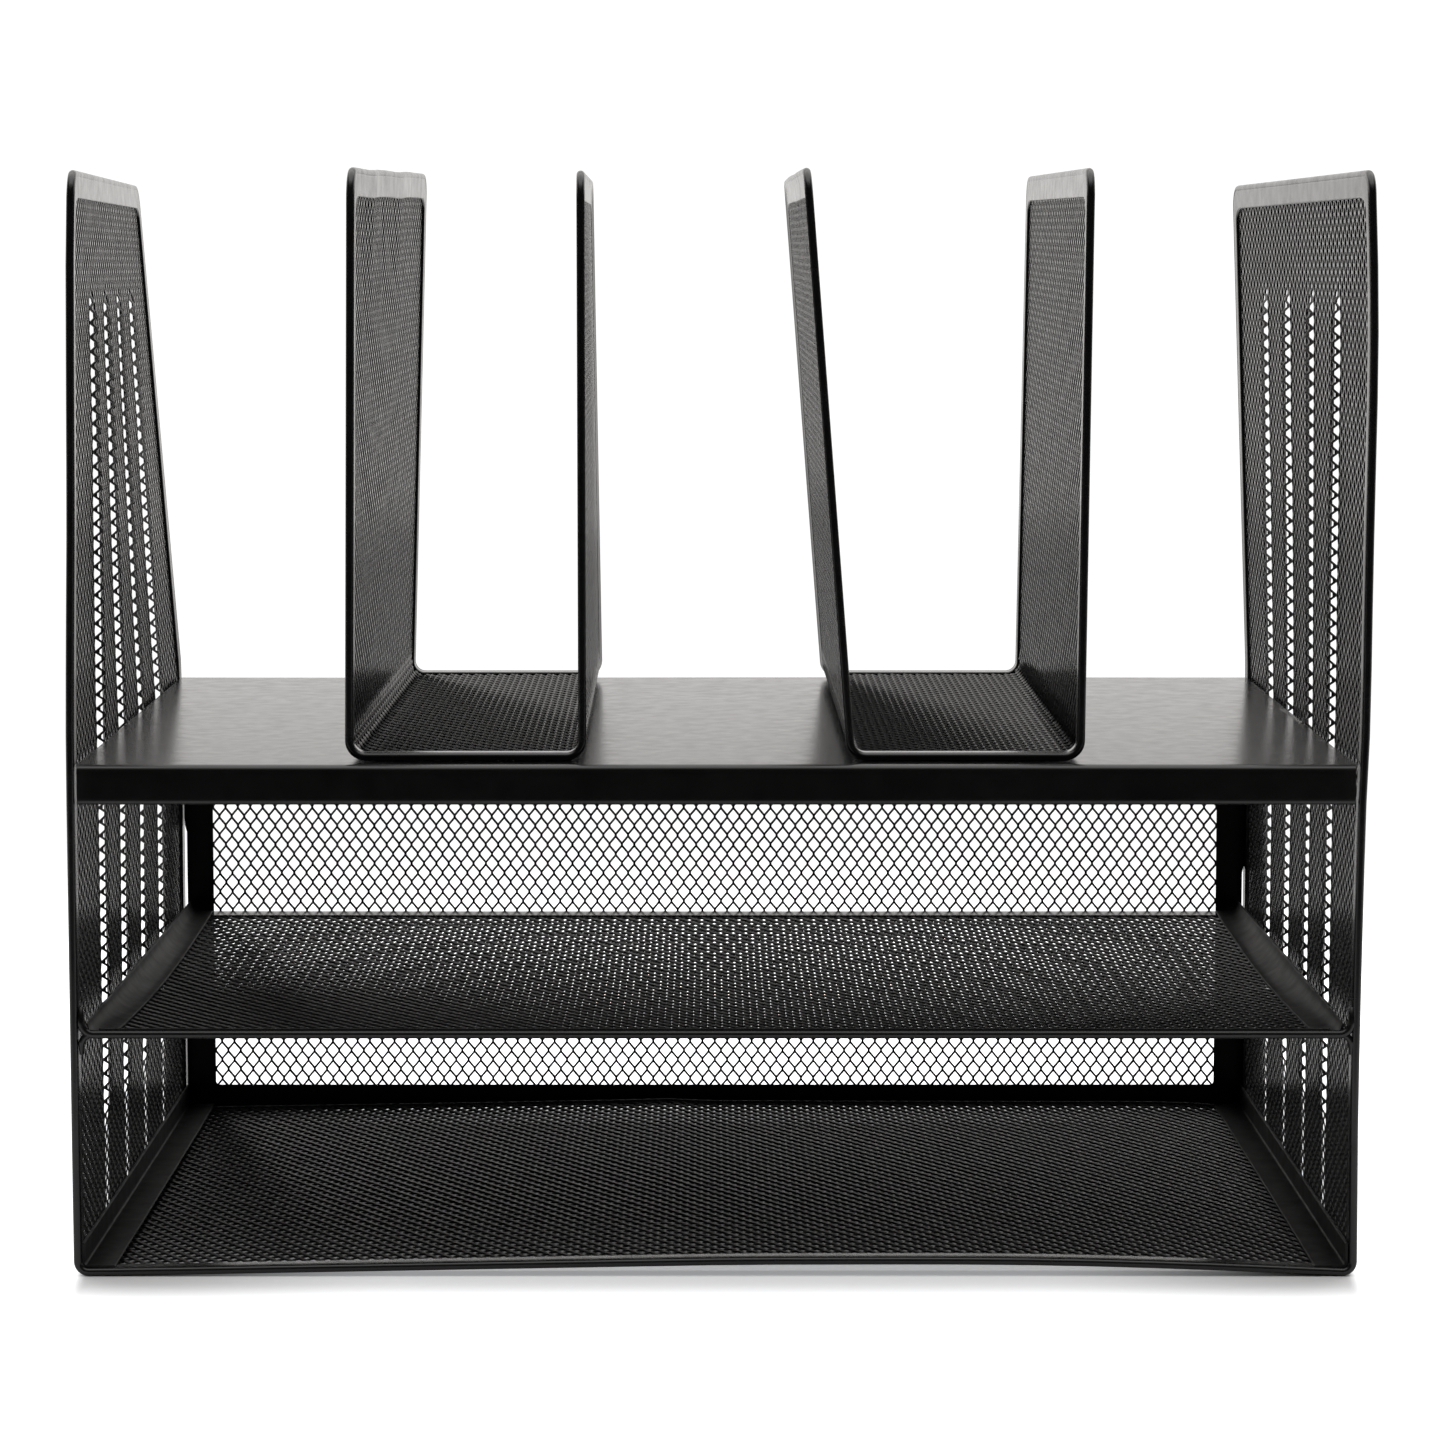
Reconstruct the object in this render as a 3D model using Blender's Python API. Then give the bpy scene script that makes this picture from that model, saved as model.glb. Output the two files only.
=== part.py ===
# Desktop file sorter: expanded-metal shell with two letter trays, a sheet
# shelf and two loose U-shaped upright dividers.
#
# Units are metres, +Z is up, the open front faces -Y, the base sits on z = 0
# and the origin is the middle of the underside of the overall box.
#
# The shell and both dividers are built the same way: one sheet bent into a U,
# hemmed all round with a folded border and finished with a round rim wire.
# Positions on such a sheet are written as (run, y): run goes along the U from
# the top of the left wing, down, across the floor and up the right wing.

import math
from functools import partial

import bmesh
import bpy
from mathutils import Vector

# ---------------------------------------------------------------- shared dimensions
HEIGHT = 0.3602            # overall height
DEPTH = 0.2830             # overall depth
WIRE_R = 0.00135           # rim wire radius
WIRE_SIDES = 10
GAP = 0.0003               # clearance between neighbouring pieces
RIM_CLEAR = WIRE_R + GAP   # from a rim wire centre line to the border beside it
SHEET = 0.0009             # thickness of the expanded sheet
PLATE = 0.0010             # thickness of the shelf and the tray side strips

X_ORIGIN = 0.00605         # moves the origin to the middle of the overall box

FRONT = -DEPTH / 2 + WIRE_R        # centre line of the front rim wire
REAR = DEPTH / 2 - WIRE_R          # centre line of the rear rim wire
TOP = HEIGHT - WIRE_R              # centre line of the top rim wire
FLOOR = WIRE_R                     # centre line of the bottom rim wire

WING_CORNER = 0.0077       # radius of the upper wing corners, wire centre
INNER_CORNER = 0.0003      # inner corner radius of the folded borders
RIM_CORNER_STEPS = 5
BORDER_CORNER_STEPS = 4
BEND_STEPS = 5             # steps round each bend of the wires and sheets

SHELL_HALF = 0.2090        # half width of the shell on the wire centre line
REAR_TAPER = 0.0025        # the right wing stands this much closer in at the rear
FLAT_HEM = 0.0016          # thickness of the floor hems and the tray's front hem
ANGLE_WIDE = 0.0122        # reach of corner angles and tray strips from the wing centre line

RIB_PITCH = 0.0495
RIB_COUNT = 4
RIB_FIRST = -0.0840        # centre of the front rib
RIB_CENTRES = [RIB_FIRST + RIB_PITCH * i for i in range(RIB_COUNT)]
RIB_HALF = 0.0036          # half width of a rib
RIB_RISE = 0.0028          # how far a rib stands in

SHELF_FRONT_Z = 0.1687     # top face of the shelf at the front
SHELF_REAR_Z = 0.1712      # top face of the shelf at the rear


# ---------------------------------------------------------------- materials
def make_material(name, colour, roughness):
    material = bpy.data.materials.new(name)
    material.use_nodes = True
    inputs = material.node_tree.nodes["Principled BSDF"].inputs
    inputs["Base Color"].default_value = (*colour, 1.0)
    inputs["Roughness"].default_value = roughness
    return material


# ---------------------------------------------------------------- mesh helpers
def add_object(name, verts, faces, material, smooth=False):
    mesh = bpy.data.meshes.new(name)
    mesh.from_pydata([(v[0] + X_ORIGIN, v[1], v[2]) for v in verts], [], faces)
    bm = bmesh.new()
    bm.from_mesh(mesh)
    bmesh.ops.remove_doubles(bm, verts=bm.verts, dist=1e-7)
    bmesh.ops.recalc_face_normals(bm, faces=bm.faces)
    for face in bm.faces:
        face.smooth = smooth
    bm.to_mesh(mesh)
    bm.free()
    mesh.materials.append(material)
    obj = bpy.data.objects.new(name, mesh)
    bpy.context.scene.collection.objects.link(obj)
    return obj


def offset_point(surface, run, y, distance):
    """Point at a distance from surface(run, y) along its normal."""
    step = 1e-5
    along_run = surface(run + step, y) - surface(run - step, y)
    along_y = surface(run, y + step) - surface(run, y - step)
    return surface(run, y) + along_run.cross(along_y).normalized() * distance


def sheet_solid(name, surface, runs, ys, thickness, material):
    """Sheet of even thickness that follows surface(run, y) on a grid."""
    run_count, y_count = len(runs), len(ys)
    verts = [offset_point(surface, run, y, thickness * side)
             for side in (0.5, -0.5) for run in runs for y in ys]

    def idx(side, i, j):
        return (side * run_count + i) * y_count + j

    faces = []
    for i in range(run_count - 1):
        for j in range(y_count - 1):
            faces.append((idx(0, i, j), idx(0, i + 1, j), idx(0, i + 1, j + 1), idx(0, i, j + 1)))
            faces.append((idx(1, i, j), idx(1, i, j + 1), idx(1, i + 1, j + 1), idx(1, i + 1, j)))
    for i in range(run_count - 1):
        for j in (0, y_count - 1):
            faces.append((idx(0, i, j), idx(1, i, j), idx(1, i + 1, j), idx(0, i + 1, j)))
    for j in range(y_count - 1):
        for i in (0, run_count - 1):
            faces.append((idx(0, i, j), idx(0, i, j + 1), idx(1, i, j + 1), idx(1, i, j)))
    return add_object(name, verts, faces, material)


def band_solid(name, surface, outer, inner, thickness, closed, material):
    """Flat band between two matching outlines drawn on surface(run, y)."""
    count = len(outer)
    verts = [offset_point(surface, run, y, thickness * side)
             for path in (outer, inner) for side in (0.5, -0.5) for run, y in path]

    def idx(path, side, i):
        return (path * 2 + side) * count + (i % count)

    faces = []
    for i in range(count if closed else count - 1):
        faces.append((idx(0, 0, i), idx(0, 0, i + 1), idx(1, 0, i + 1), idx(1, 0, i)))
        faces.append((idx(0, 1, i), idx(1, 1, i), idx(1, 1, i + 1), idx(0, 1, i + 1)))
        faces.append((idx(0, 0, i), idx(0, 1, i), idx(0, 1, i + 1), idx(0, 0, i + 1)))
        faces.append((idx(1, 0, i), idx(1, 0, i + 1), idx(1, 1, i + 1), idx(1, 1, i)))
    if not closed:
        for i in (0, count - 1):
            faces.append((idx(0, 0, i), idx(1, 0, i), idx(1, 1, i), idx(0, 1, i)))
    return add_object(name, verts, faces, material)


def tube_faces(ring_size, ring_count, closed):
    """Faces joining successive rings of vertices, capped when the tube is open."""
    faces = []
    for i in range(ring_count if closed else ring_count - 1):
        base = i * ring_size
        following = (i + 1) % ring_count * ring_size
        for k in range(ring_size):
            m = (k + 1) % ring_size
            faces.append((base + k, base + m, following + m, following + k))
    if not closed:
        faces.append(tuple(range(ring_size)))
        faces.append(tuple((ring_count - 1) * ring_size + k for k in range(ring_size)))
    return faces


def carry_frame(frame, tangent, next_tangent):
    """Turn frame by the rotation that takes tangent to next_tangent."""
    axis = tangent.cross(next_tangent)
    if axis.length <= 1e-9:
        return frame
    angle = math.atan2(axis.length, tangent.dot(next_tangent))
    axis.normalize()
    return (frame * math.cos(angle) + axis.cross(frame) * math.sin(angle)
            + axis * axis.dot(frame) * (1 - math.cos(angle)))


def wire_solid(name, points, radius, closed, material):
    """Round wire swept along points, with the frame carried along the path."""
    count = len(points)
    tangents = []
    for i in range(count):
        if closed:
            before, after = points[i - 1], points[(i + 1) % count]
        else:
            before, after = points[max(i - 1, 0)], points[min(i + 1, count - 1)]
        tangents.append((after - before).normalized())

    up = Vector((0.0, 1.0, 0.0))
    if abs(tangents[0].dot(up)) > 0.9:
        up = Vector((1.0, 0.0, 0.0))
    frames = [(up - tangents[0] * up.dot(tangents[0])).normalized()]
    for previous, tangent in zip(tangents, tangents[1:]):
        frame = carry_frame(frames[-1], previous, tangent)
        frames.append((frame - tangent * frame.dot(tangent)).normalized())

    # a closed wire spreads the mismatch at the joint evenly over its length
    twist = 0.0
    if closed:
        carried = carry_frame(frames[-1], tangents[-1], tangents[0])
        side = tangents[0].cross(frames[0])
        twist = -math.atan2(carried.dot(side), carried.dot(frames[0]))

    verts = []
    for i, (point, tangent, frame) in enumerate(zip(points, tangents, frames)):
        across = tangent.cross(frame)
        for k in range(WIRE_SIDES):
            angle = 2 * math.pi * k / WIRE_SIDES + twist * i / count
            verts.append(point + frame * (radius * math.cos(angle))
                         + across * (radius * math.sin(angle)))
    return add_object(name, verts, tube_faces(WIRE_SIDES, count, closed), material, smooth=True)


def profile_solid(name, outline, stations, material):
    """Closed 2D outline placed in space by each station in turn, and joined up."""
    verts = [place(*point) for place in stations for point in outline]
    return add_object(name, verts, tube_faces(len(outline), len(stations), False), material)


# ---------------------------------------------------------------- outline helpers
def spread(start, end, count):
    return [start + (end - start) * i / count for i in range(count + 1)]


def merged(values):
    """Sorted values with near-duplicates left out."""
    out = []
    for value in sorted(values):
        if not out or value - out[-1] > 1e-5:
            out.append(value)
    return out


def arc_points(centre_a, centre_b, radius, start, sweep, steps):
    """Arc in a plane, both ends included; angles in degrees."""
    angles = [math.radians(angle) for angle in spread(start, start + sweep, steps)]
    return [(centre_a + radius * math.cos(angle), centre_b + radius * math.sin(angle))
            for angle in angles]


def rounded_outline(run0, run1, y0, y1, radius, stops, steps):
    """Closed outline in (run, y); stops are the samples along the two long sides."""
    side = [run0 + radius] + stops + [run1 - radius]
    across = spread(y0 + radius, y1 - radius, 4)

    def corner(run, y, start):
        return arc_points(run, y, radius, start, 90, steps)[1:-1]

    out = [(run, y0) for run in side]
    out += corner(run1 - radius, y0 + radius, -90)
    out += [(run1, y) for y in across]
    out += corner(run1 - radius, y1 - radius, 0)
    out += [(run, y1) for run in reversed(side)]
    out += corner(run0 + radius, y1 - radius, 90)
    out += [(run0, y) for y in reversed(across)]
    out += corner(run0 + radius, y0 + radius, 180)
    return out


def wing_outline(foot_run, top_run, y0, y1, radius, stops):
    """Open outline in (run, y): up the front edge, over the top, down the rear."""
    direction = 1 if foot_run > top_run else -1
    sweep = -90 * direction
    shoulder = top_run + direction * radius
    side = [foot_run] + stops + [shoulder]

    def corner(y, start):
        return arc_points(shoulder, y, radius, start, sweep, BORDER_CORNER_STEPS)[1:-1]

    out = [(run, y0) for run in side]
    out += corner(y0 + radius, -90)
    out += [(top_run, y) for y in spread(y0 + radius, y1 - radius, 5)]
    out += corner(y1 - radius, -90 + sweep)
    out += [(run, y1) for run in reversed(side)]
    return out


def rounded_rectangle(x0, x1, z0, z1, radius):
    out = []
    for centre_x, centre_z, start in ((x1 - radius, z0 + radius, -90),
                                      (x1 - radius, z1 - radius, 0),
                                      (x0 + radius, z1 - radius, 90),
                                      (x0 + radius, z0 + radius, 180)):
        out += arc_points(centre_x, centre_z, radius, start, 90, 2)
    return out


# ---------------------------------------------------------------- end wings
LEAN_START = 0.1702        # the end wings lean above this height
LEAN_LEFT_FRONT = 0.0026   # sideways lean at the top, positive towards +X
LEAN_LEFT_REAR = -0.0144
LEAN_RIGHT_FRONT = 0.0022
LEAN_RIGHT_REAR = -0.0074

RIB_LOW = 0.0370
RIB_HIGH = 0.3220
RIB_RUN_OUT = 0.0100       # length over which a rib fades into the sheet


def depth_fraction(y):
    return (y - FRONT) / (REAR - FRONT)


def end_x(side, y, z):
    """Centre line of the left (-1) or right (+1) end wing."""
    rearward = depth_fraction(y)
    lean = max(0.0, (z - LEAN_START) / (TOP - LEAN_START))
    if side < 0:
        return -SHELL_HALF + lean * ((1 - rearward) * LEAN_LEFT_FRONT
                                     + rearward * LEAN_LEFT_REAR)
    return (SHELL_HALF - REAR_TAPER * rearward
            + lean * ((1 - rearward) * LEAN_RIGHT_FRONT + rearward * LEAN_RIGHT_REAR))


def wing_foot_x(side, y):
    """Centre line of an end wing below the height where it leans."""
    return end_x(side, y, FLOOR)


def rib_rise(y, z):
    """How far the ribs push an end wing inwards at (y, z)."""
    if z <= RIB_LOW or z >= RIB_HIGH:
        return 0.0
    height = RIB_RISE * min(1.0, (z - RIB_LOW) / RIB_RUN_OUT, (RIB_HIGH - z) / RIB_RUN_OUT)
    for centre in RIB_CENTRES:
        distance = abs(y - centre)
        if distance < RIB_HALF:
            return height * 0.5 * (1 + math.cos(math.pi * distance / RIB_HALF))
    return 0.0


# ---------------------------------------------------------------- bent sheets
class BentSheet:
    """Sheet bent into a U; point(run, y) is on its middle surface.

    left(y, z) and right(y, z) give the wings' x, floor(y) gives the floor's z.
    """

    def __init__(self, left, right, floor, corner, ribs=False):
        self.left, self.right, self.floor = left, right, floor
        self.corner, self.ribs = corner, ribs
        floor_z = floor(0.0)
        self.wing = TOP - floor_z - corner
        self.arc = corner * math.pi / 2
        self.flat = right(0.0, floor_z) - left(0.0, floor_z) - 2 * corner
        self.length = 2 * self.wing + 2 * self.arc + self.flat

    def point(self, run, y):
        floor_z = self.floor(y)
        bend_z = floor_z + self.corner
        side, wing_x = -1, self.left
        if run > self.length / 2:
            run = self.length - run
            side, wing_x = 1, self.right
        if run <= self.wing:
            z = TOP - run * (TOP - bend_z) / self.wing
            x = wing_x(y, z)
            if self.ribs:
                x -= side * rib_rise(y, z)
            return Vector((x, y, z))
        foot = wing_x(y, bend_z)
        if run <= self.wing + self.arc:
            angle = (run - self.wing) / self.arc * math.pi / 2
            return Vector((foot - side * self.corner * (1 - math.cos(angle)), y,
                           bend_z - self.corner * math.sin(angle)))
        middle = 0.5 * (self.left(y, bend_z) + self.right(y, bend_z))
        flat_start = foot - side * self.corner
        fraction = (run - self.wing - self.arc) / (self.flat / 2)
        return Vector((flat_start + (middle - flat_start) * fraction, y, floor_z))

    def stops(self, wing_cuts):
        """Samples along the whole sheet: both wings, both bends and the middle."""
        half = wing_cuts + spread(self.wing, self.wing + self.arc, BEND_STEPS)
        return sorted(half + [self.length - run for run in half] + [self.length / 2])


# ---------------------------------------------------------------- shell
SHELL_CORNER = 0.00345     # bend radius at the foot of the shell
BORDER_SIDE = 0.0060       # border width at the front and rear edges
BORDER_TOP = 0.0100        # border width along the top edge
HEM = 0.0020               # thickness of the folded border
BORDER_FOOT_RISE = 0.0014  # the end borders stop this far above the bends
FLOOR_HEM_INSET = 0.0004   # from the end of a bend to the end of a floor hem

# heights at which the rim and the end borders are sampled
WING_CUT_HEIGHTS = (0.3322, 0.3022, 0.2642, 0.2272, 0.1922, 0.1702, 0.1222, 0.0622)
# heights of the grid lines of the end meshes, below their top edge
MESH_HEIGHTS = (0.0056, RIB_LOW, RIB_LOW + RIB_RUN_OUT, 0.0622, 0.0802, 0.1022,
                LEAN_START, 0.2272, 0.2622, RIB_HIGH - RIB_RUN_OUT, RIB_HIGH)

ANGLE_TOP = 0.0108         # top of the upright leg of the corner angles
ANGLE_T = 0.0009           # thickness of the corner angles
ANGLE_REAR_INSET = 0.0012  # extra clearance at the rear end of the angles

WING_CUTS = [TOP - z for z in WING_CUT_HEIGHTS]


def make_shell(ribs):
    return BentSheet(partial(end_x, -1), partial(end_x, 1), lambda y: FLOOR,
                     SHELL_CORNER, ribs)


def build_shell_rim(shell):
    """One closed loop of wire round the whole bent sheet."""
    path = rounded_outline(0.0, shell.length, FRONT, REAR, WING_CORNER,
                           shell.stops(WING_CUTS), RIM_CORNER_STEPS)
    wire_solid("shell_rim_wire", [shell.point(*at) for at in path], WIRE_R, True, WIRE_BLACK)


def build_end_borders(shell):
    """Folded border of each end wing, open at the foot."""
    foot_run = shell.wing - BORDER_FOOT_RISE
    upward_cuts = sorted(WING_CUTS, reverse=True)
    length = shell.length
    for name, top, foot, direction, cuts in (
            ("left_end_border", 0.0, foot_run, 1, upward_cuts),
            ("right_end_border", length, length - foot_run, -1,
             [length - run for run in upward_cuts])):
        outer = wing_outline(foot, top + direction * RIM_CLEAR, FRONT + RIM_CLEAR,
                             REAR - RIM_CLEAR, WING_CORNER - RIM_CLEAR, cuts)
        inner = wing_outline(foot, top + direction * BORDER_TOP, FRONT + BORDER_SIDE,
                             REAR - BORDER_SIDE, INNER_CORNER, cuts)
        band_solid(name, shell.point, outer, inner, HEM, False, BORDER_BLACK)


def build_end_meshes():
    """Meshes inside the end borders, with the pressed ribs."""
    ribbed = make_shell(ribs=True)
    ys = [FRONT + BORDER_SIDE + GAP, REAR - BORDER_SIDE - GAP]
    for centre in RIB_CENTRES:
        ys += spread(centre - RIB_HALF, centre + RIB_HALF, 4)
    ys = merged(ys)
    runs = merged([BORDER_TOP + GAP] + [TOP - z for z in MESH_HEIGHTS])
    sheet_solid("left_end_mesh", ribbed.point, runs, ys, SHEET, MESH_BLACK)
    sheet_solid("right_end_mesh", ribbed.point, [ribbed.length - run for run in runs], ys,
                SHEET, MESH_BLACK)


def build_shell_floor(shell):
    """Bottom tray mesh, clear between the corner angles, and its two hems."""
    flat_start = shell.wing + shell.arc
    for name, start, ys, thickness, material in (
            ("bottom_tray_mesh", flat_start + ANGLE_WIDE - SHELL_CORNER + GAP,
             [FRONT + BORDER_SIDE + GAP, 0.0, REAR - BORDER_SIDE - GAP], SHEET, MESH_BLACK),
            ("bottom_front_hem", flat_start + FLOOR_HEM_INSET,
             [FRONT + RIM_CLEAR, FRONT + BORDER_SIDE], FLAT_HEM, BORDER_BLACK),
            ("bottom_rear_hem", flat_start + FLOOR_HEM_INSET,
             [REAR - BORDER_SIDE, REAR - RIM_CLEAR], FLAT_HEM, BORDER_BLACK)):
        runs = [start, shell.length / 2, shell.length - start]
        sheet_solid(name, shell.point, runs, ys, thickness, material)


def side_station(side, y):
    """Places a profile written as (distance in from the wing centre line, height)."""
    base = wing_foot_x(side, y)
    return lambda inward, z: Vector((base - side * inward, y, z))


def build_corner_angles():
    """L-shaped angles covering the two bends of the shell."""
    leg = HEM / 2 + GAP
    low = FLOOR + FLAT_HEM / 2 + GAP
    outline = [(leg, low), (ANGLE_WIDE, low), (ANGLE_WIDE, low + ANGLE_T),
               (leg + ANGLE_T, low + ANGLE_T), (leg + ANGLE_T, ANGLE_TOP), (leg, ANGLE_TOP)]
    ys = (FRONT + RIM_CLEAR, 0.0, REAR - RIM_CLEAR - ANGLE_REAR_INSET)
    for name, side in (("bottom_left_angle", -1), ("bottom_right_angle", 1)):
        profile_solid(name, outline, [side_station(side, y) for y in ys], SHEET_BLACK)


# ---------------------------------------------------------------- middle tray
TRAY_Z = 0.0790            # middle of the tray sheet
TRAY_WIRE_Z = 0.0802       # front wire centre line
TRAY_WIRE_R = 0.00140
TRAY_CORNER = 0.0040       # turn-up radius of the wire ends
TRAY_WIRE_END = 0.0045     # straight upright length of the wire ends
TRAY_HEM_WIDTH = 0.0042
TRAY_REAR_HEM = 0.0018     # thickness of the rear hem
TRAY_FRONT = FRONT + TRAY_WIRE_R + GAP
TRAY_REAR = 0.1364

# middle line of a side strip: distance in from the wing centre line, height
STRIP_PATH = (
    (ANGLE_WIDE, TRAY_Z),
    (0.0062, TRAY_Z + 0.0001),
    (0.0040, TRAY_Z + 0.0008),
    (0.0026, TRAY_Z + 0.0020),
    (0.0020, TRAY_Z + 0.0036),
)


def tray_point(fraction, y):
    """Tray surface; fraction is 0 at the left side strip and 1 at the right."""
    left = wing_foot_x(-1, y) + ANGLE_WIDE + GAP
    right = wing_foot_x(1, y) - ANGLE_WIDE - GAP
    return Vector((left + (right - left) * fraction, y, TRAY_Z))


def build_tray_sheets():
    front_hem_end = TRAY_FRONT + TRAY_HEM_WIDTH
    rear_hem_start = TRAY_REAR - TRAY_HEM_WIDTH
    for name, ys, thickness, material in (
            ("middle_tray_mesh", [front_hem_end + GAP, 0.0, rear_hem_start - GAP],
             SHEET, MESH_BLACK),
            ("middle_front_hem", [TRAY_FRONT, front_hem_end], FLAT_HEM, BORDER_BLACK),
            ("middle_rear_hem", [rear_hem_start, TRAY_REAR], TRAY_REAR_HEM, BORDER_BLACK)):
        sheet_solid(name, tray_point, [0.0, 0.5, 1.0], ys, thickness, material)


def build_tray_strips():
    """Side strips: flat on the inside, curling up against the end wings."""
    wing_face, tray_face = [], []
    for k, (inward, z) in enumerate(STRIP_PATH):
        before = STRIP_PATH[max(k - 1, 0)]
        after = STRIP_PATH[min(k + 1, len(STRIP_PATH) - 1)]
        step_in, step_z = after[0] - before[0], after[1] - before[1]
        scale = PLATE / 2 / math.hypot(step_in, step_z)
        wing_face.append((inward - step_z * scale, z + step_in * scale))
        tray_face.append((inward + step_z * scale, z - step_in * scale))
    outline = wing_face + tray_face[::-1]
    return [profile_solid(name, outline,
                          [side_station(side, y) for y in (TRAY_FRONT, 0.0, TRAY_REAR)],
                          SHEET_BLACK)
            for name, side in (("middle_left_strip", -1), ("middle_right_strip", 1))]


def build_tray_wire():
    """Front wire with both ends turned up against the side rims."""
    end = SHELL_HALF - WIRE_R - GAP - TRAY_WIRE_R
    left = [(-end, TRAY_WIRE_Z + TRAY_CORNER + TRAY_WIRE_END)]
    left += arc_points(-end + TRAY_CORNER, TRAY_WIRE_Z + TRAY_CORNER, TRAY_CORNER,
                       180, 90, BEND_STEPS)
    path = left + [(0.0, TRAY_WIRE_Z)] + [(-x, z) for x, z in reversed(left)]
    wire_solid("middle_front_wire", [Vector((x, FRONT, z)) for x, z in path],
               TRAY_WIRE_R, False, WIRE_BLACK)


# ---------------------------------------------------------------- shelf
SHELF_HALF = 0.2073
SHELF_FRONT = -DEPTH / 2 + 0.0004  # front face of the front flange
SHELF_REAR = 0.1370                # rear face of the rear flange
SHELF_BEND = 0.0020                # outside bend radius
SHELF_FLANGE = 0.0130              # height of the front flange
SHELF_LIP = 0.0045                 # return lip under the front flange
SHELF_REAR_FLANGE = 0.0110
LIP_CHAMFER_OUT = 0.0010           # corner cut between flange and lip, outside
LIP_CHAMFER_IN = 0.0014            # the same corner inside, from the outer faces


def shelf_z(y):
    return SHELF_FRONT_Z + (SHELF_REAR_Z - SHELF_FRONT_Z) * depth_fraction(y)


def shelf_station(side):
    def place(y, z):
        x = side * SHELF_HALF
        if side > 0:
            x -= REAR_TAPER * depth_fraction(y)
        return Vector((x, y, z))
    return place


def build_shelf():
    """Sloping panel with a lipped front flange and a plain rear flange."""
    low = SHELF_FRONT_Z - SHELF_FLANGE
    rear_low = SHELF_REAR_Z - SHELF_REAR_FLANGE
    front_y, rear_y = SHELF_FRONT + SHELF_BEND, SHELF_REAR - SHELF_BEND
    front_bend = (front_y, shelf_z(front_y) - SHELF_BEND)
    rear_bend = (rear_y, shelf_z(rear_y) - SHELF_BEND)
    inner_bend = SHELF_BEND - PLATE

    outline = [(SHELF_FRONT + SHELF_LIP, low),
               (SHELF_FRONT + LIP_CHAMFER_OUT, low),
               (SHELF_FRONT, low + LIP_CHAMFER_OUT)]
    outline += arc_points(*front_bend, SHELF_BEND, 180, -90, BEND_STEPS)
    outline += arc_points(*rear_bend, SHELF_BEND, 90, -90, BEND_STEPS)
    outline += [(SHELF_REAR, rear_low), (SHELF_REAR - PLATE, rear_low)]
    outline += arc_points(*rear_bend, inner_bend, 0, 90, BEND_STEPS)
    outline += arc_points(*front_bend, inner_bend, 90, 90, BEND_STEPS)
    outline += [(SHELF_FRONT + PLATE, low + LIP_CHAMFER_IN),
                (SHELF_FRONT + LIP_CHAMFER_IN, low + PLATE),
                (SHELF_FRONT + SHELF_LIP, low + PLATE)]
    return profile_solid("shelf_panel", outline, [shelf_station(-1), shelf_station(1)],
                         SHEET_BLACK)


# ---------------------------------------------------------------- rib clearance
NOTCH_LOW = 0.0742
NOTCH_HIGH = 0.1782
NOTCH_DEPTH_GAP = 0.0005   # clearance beyond the inner face of a rib
NOTCH_SIDE_GAP = 0.0006    # clearance beside a rib at its foot
NOTCH_OUTWARD = 0.0020     # reach beyond the wing centre line
NOTCH_TAPER = 0.6          # inner width as a share of the outer width

BOX_FACES = ((0, 1, 2, 3), (4, 5, 6, 7), (0, 1, 5, 4), (1, 2, 6, 5), (2, 3, 7, 6), (3, 0, 4, 7))


def cut_rib_clearance(targets):
    """Notch the targets where they pass the ribs."""
    verts, faces = [], []
    outer_half = RIB_HALF + NOTCH_SIDE_GAP
    inner_half = outer_half * NOTCH_TAPER
    for side in (-1, 1):
        for y in RIB_CENTRES:
            foot = wing_foot_x(side, y)
            inner_x = foot - side * (RIB_RISE + SHEET / 2 + NOTCH_DEPTH_GAP)
            outer_x = foot + side * NOTCH_OUTWARD
            base = len(verts)
            for z in (NOTCH_LOW, NOTCH_HIGH):
                verts += [(inner_x, y - inner_half, z), (inner_x, y + inner_half, z),
                          (outer_x, y + outer_half, z), (outer_x, y - outer_half, z)]
            faces += [tuple(base + k for k in face) for face in BOX_FACES]
    cutter = add_object("rib_clearance", verts, faces, SHEET_BLACK)
    cutter.hide_render = True
    cutter.display_type = "WIRE"
    for obj in targets:
        modifier = obj.modifiers.new("rib clearance", "BOOLEAN")
        modifier.operation = "DIFFERENCE"
        modifier.object = cutter


# ---------------------------------------------------------------- rear panel
REAR_PANEL_Y = 0.1385      # middle of the rear panel
REAR_LEFT = -0.2055
REAR_RIGHT = 0.2035
REAR_LOW = 0.0032
REAR_HIGH = 0.1652
REAR_BAND = 0.0092         # width of the solid side and top bands
REAR_BAR = 0.0075          # height of the solid lower bar
REAR_FRAME_T = 0.0012
REAR_MESH_T = 0.0008
REAR_CORNER_OUT = 0.0010   # corner radii of the frame
REAR_CORNER_IN = 0.0008


def build_rear_panel():
    def rear_point(x, z):
        return Vector((x, REAR_PANEL_Y, z))

    left, right = REAR_LEFT + REAR_BAND, REAR_RIGHT - REAR_BAND
    low, high = REAR_LOW + REAR_BAR, REAR_HIGH - REAR_BAND
    band_solid("rear_frame", rear_point,
               rounded_rectangle(REAR_LEFT, REAR_RIGHT, REAR_LOW, REAR_HIGH, REAR_CORNER_OUT),
               rounded_rectangle(left, right, low, high, REAR_CORNER_IN),
               REAR_FRAME_T, True, SHEET_BLACK)
    sheet_solid("rear_mesh", rear_point, [left + GAP, right - GAP], [low + GAP, high - GAP],
                REAR_MESH_T, MESH_BLACK)


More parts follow.
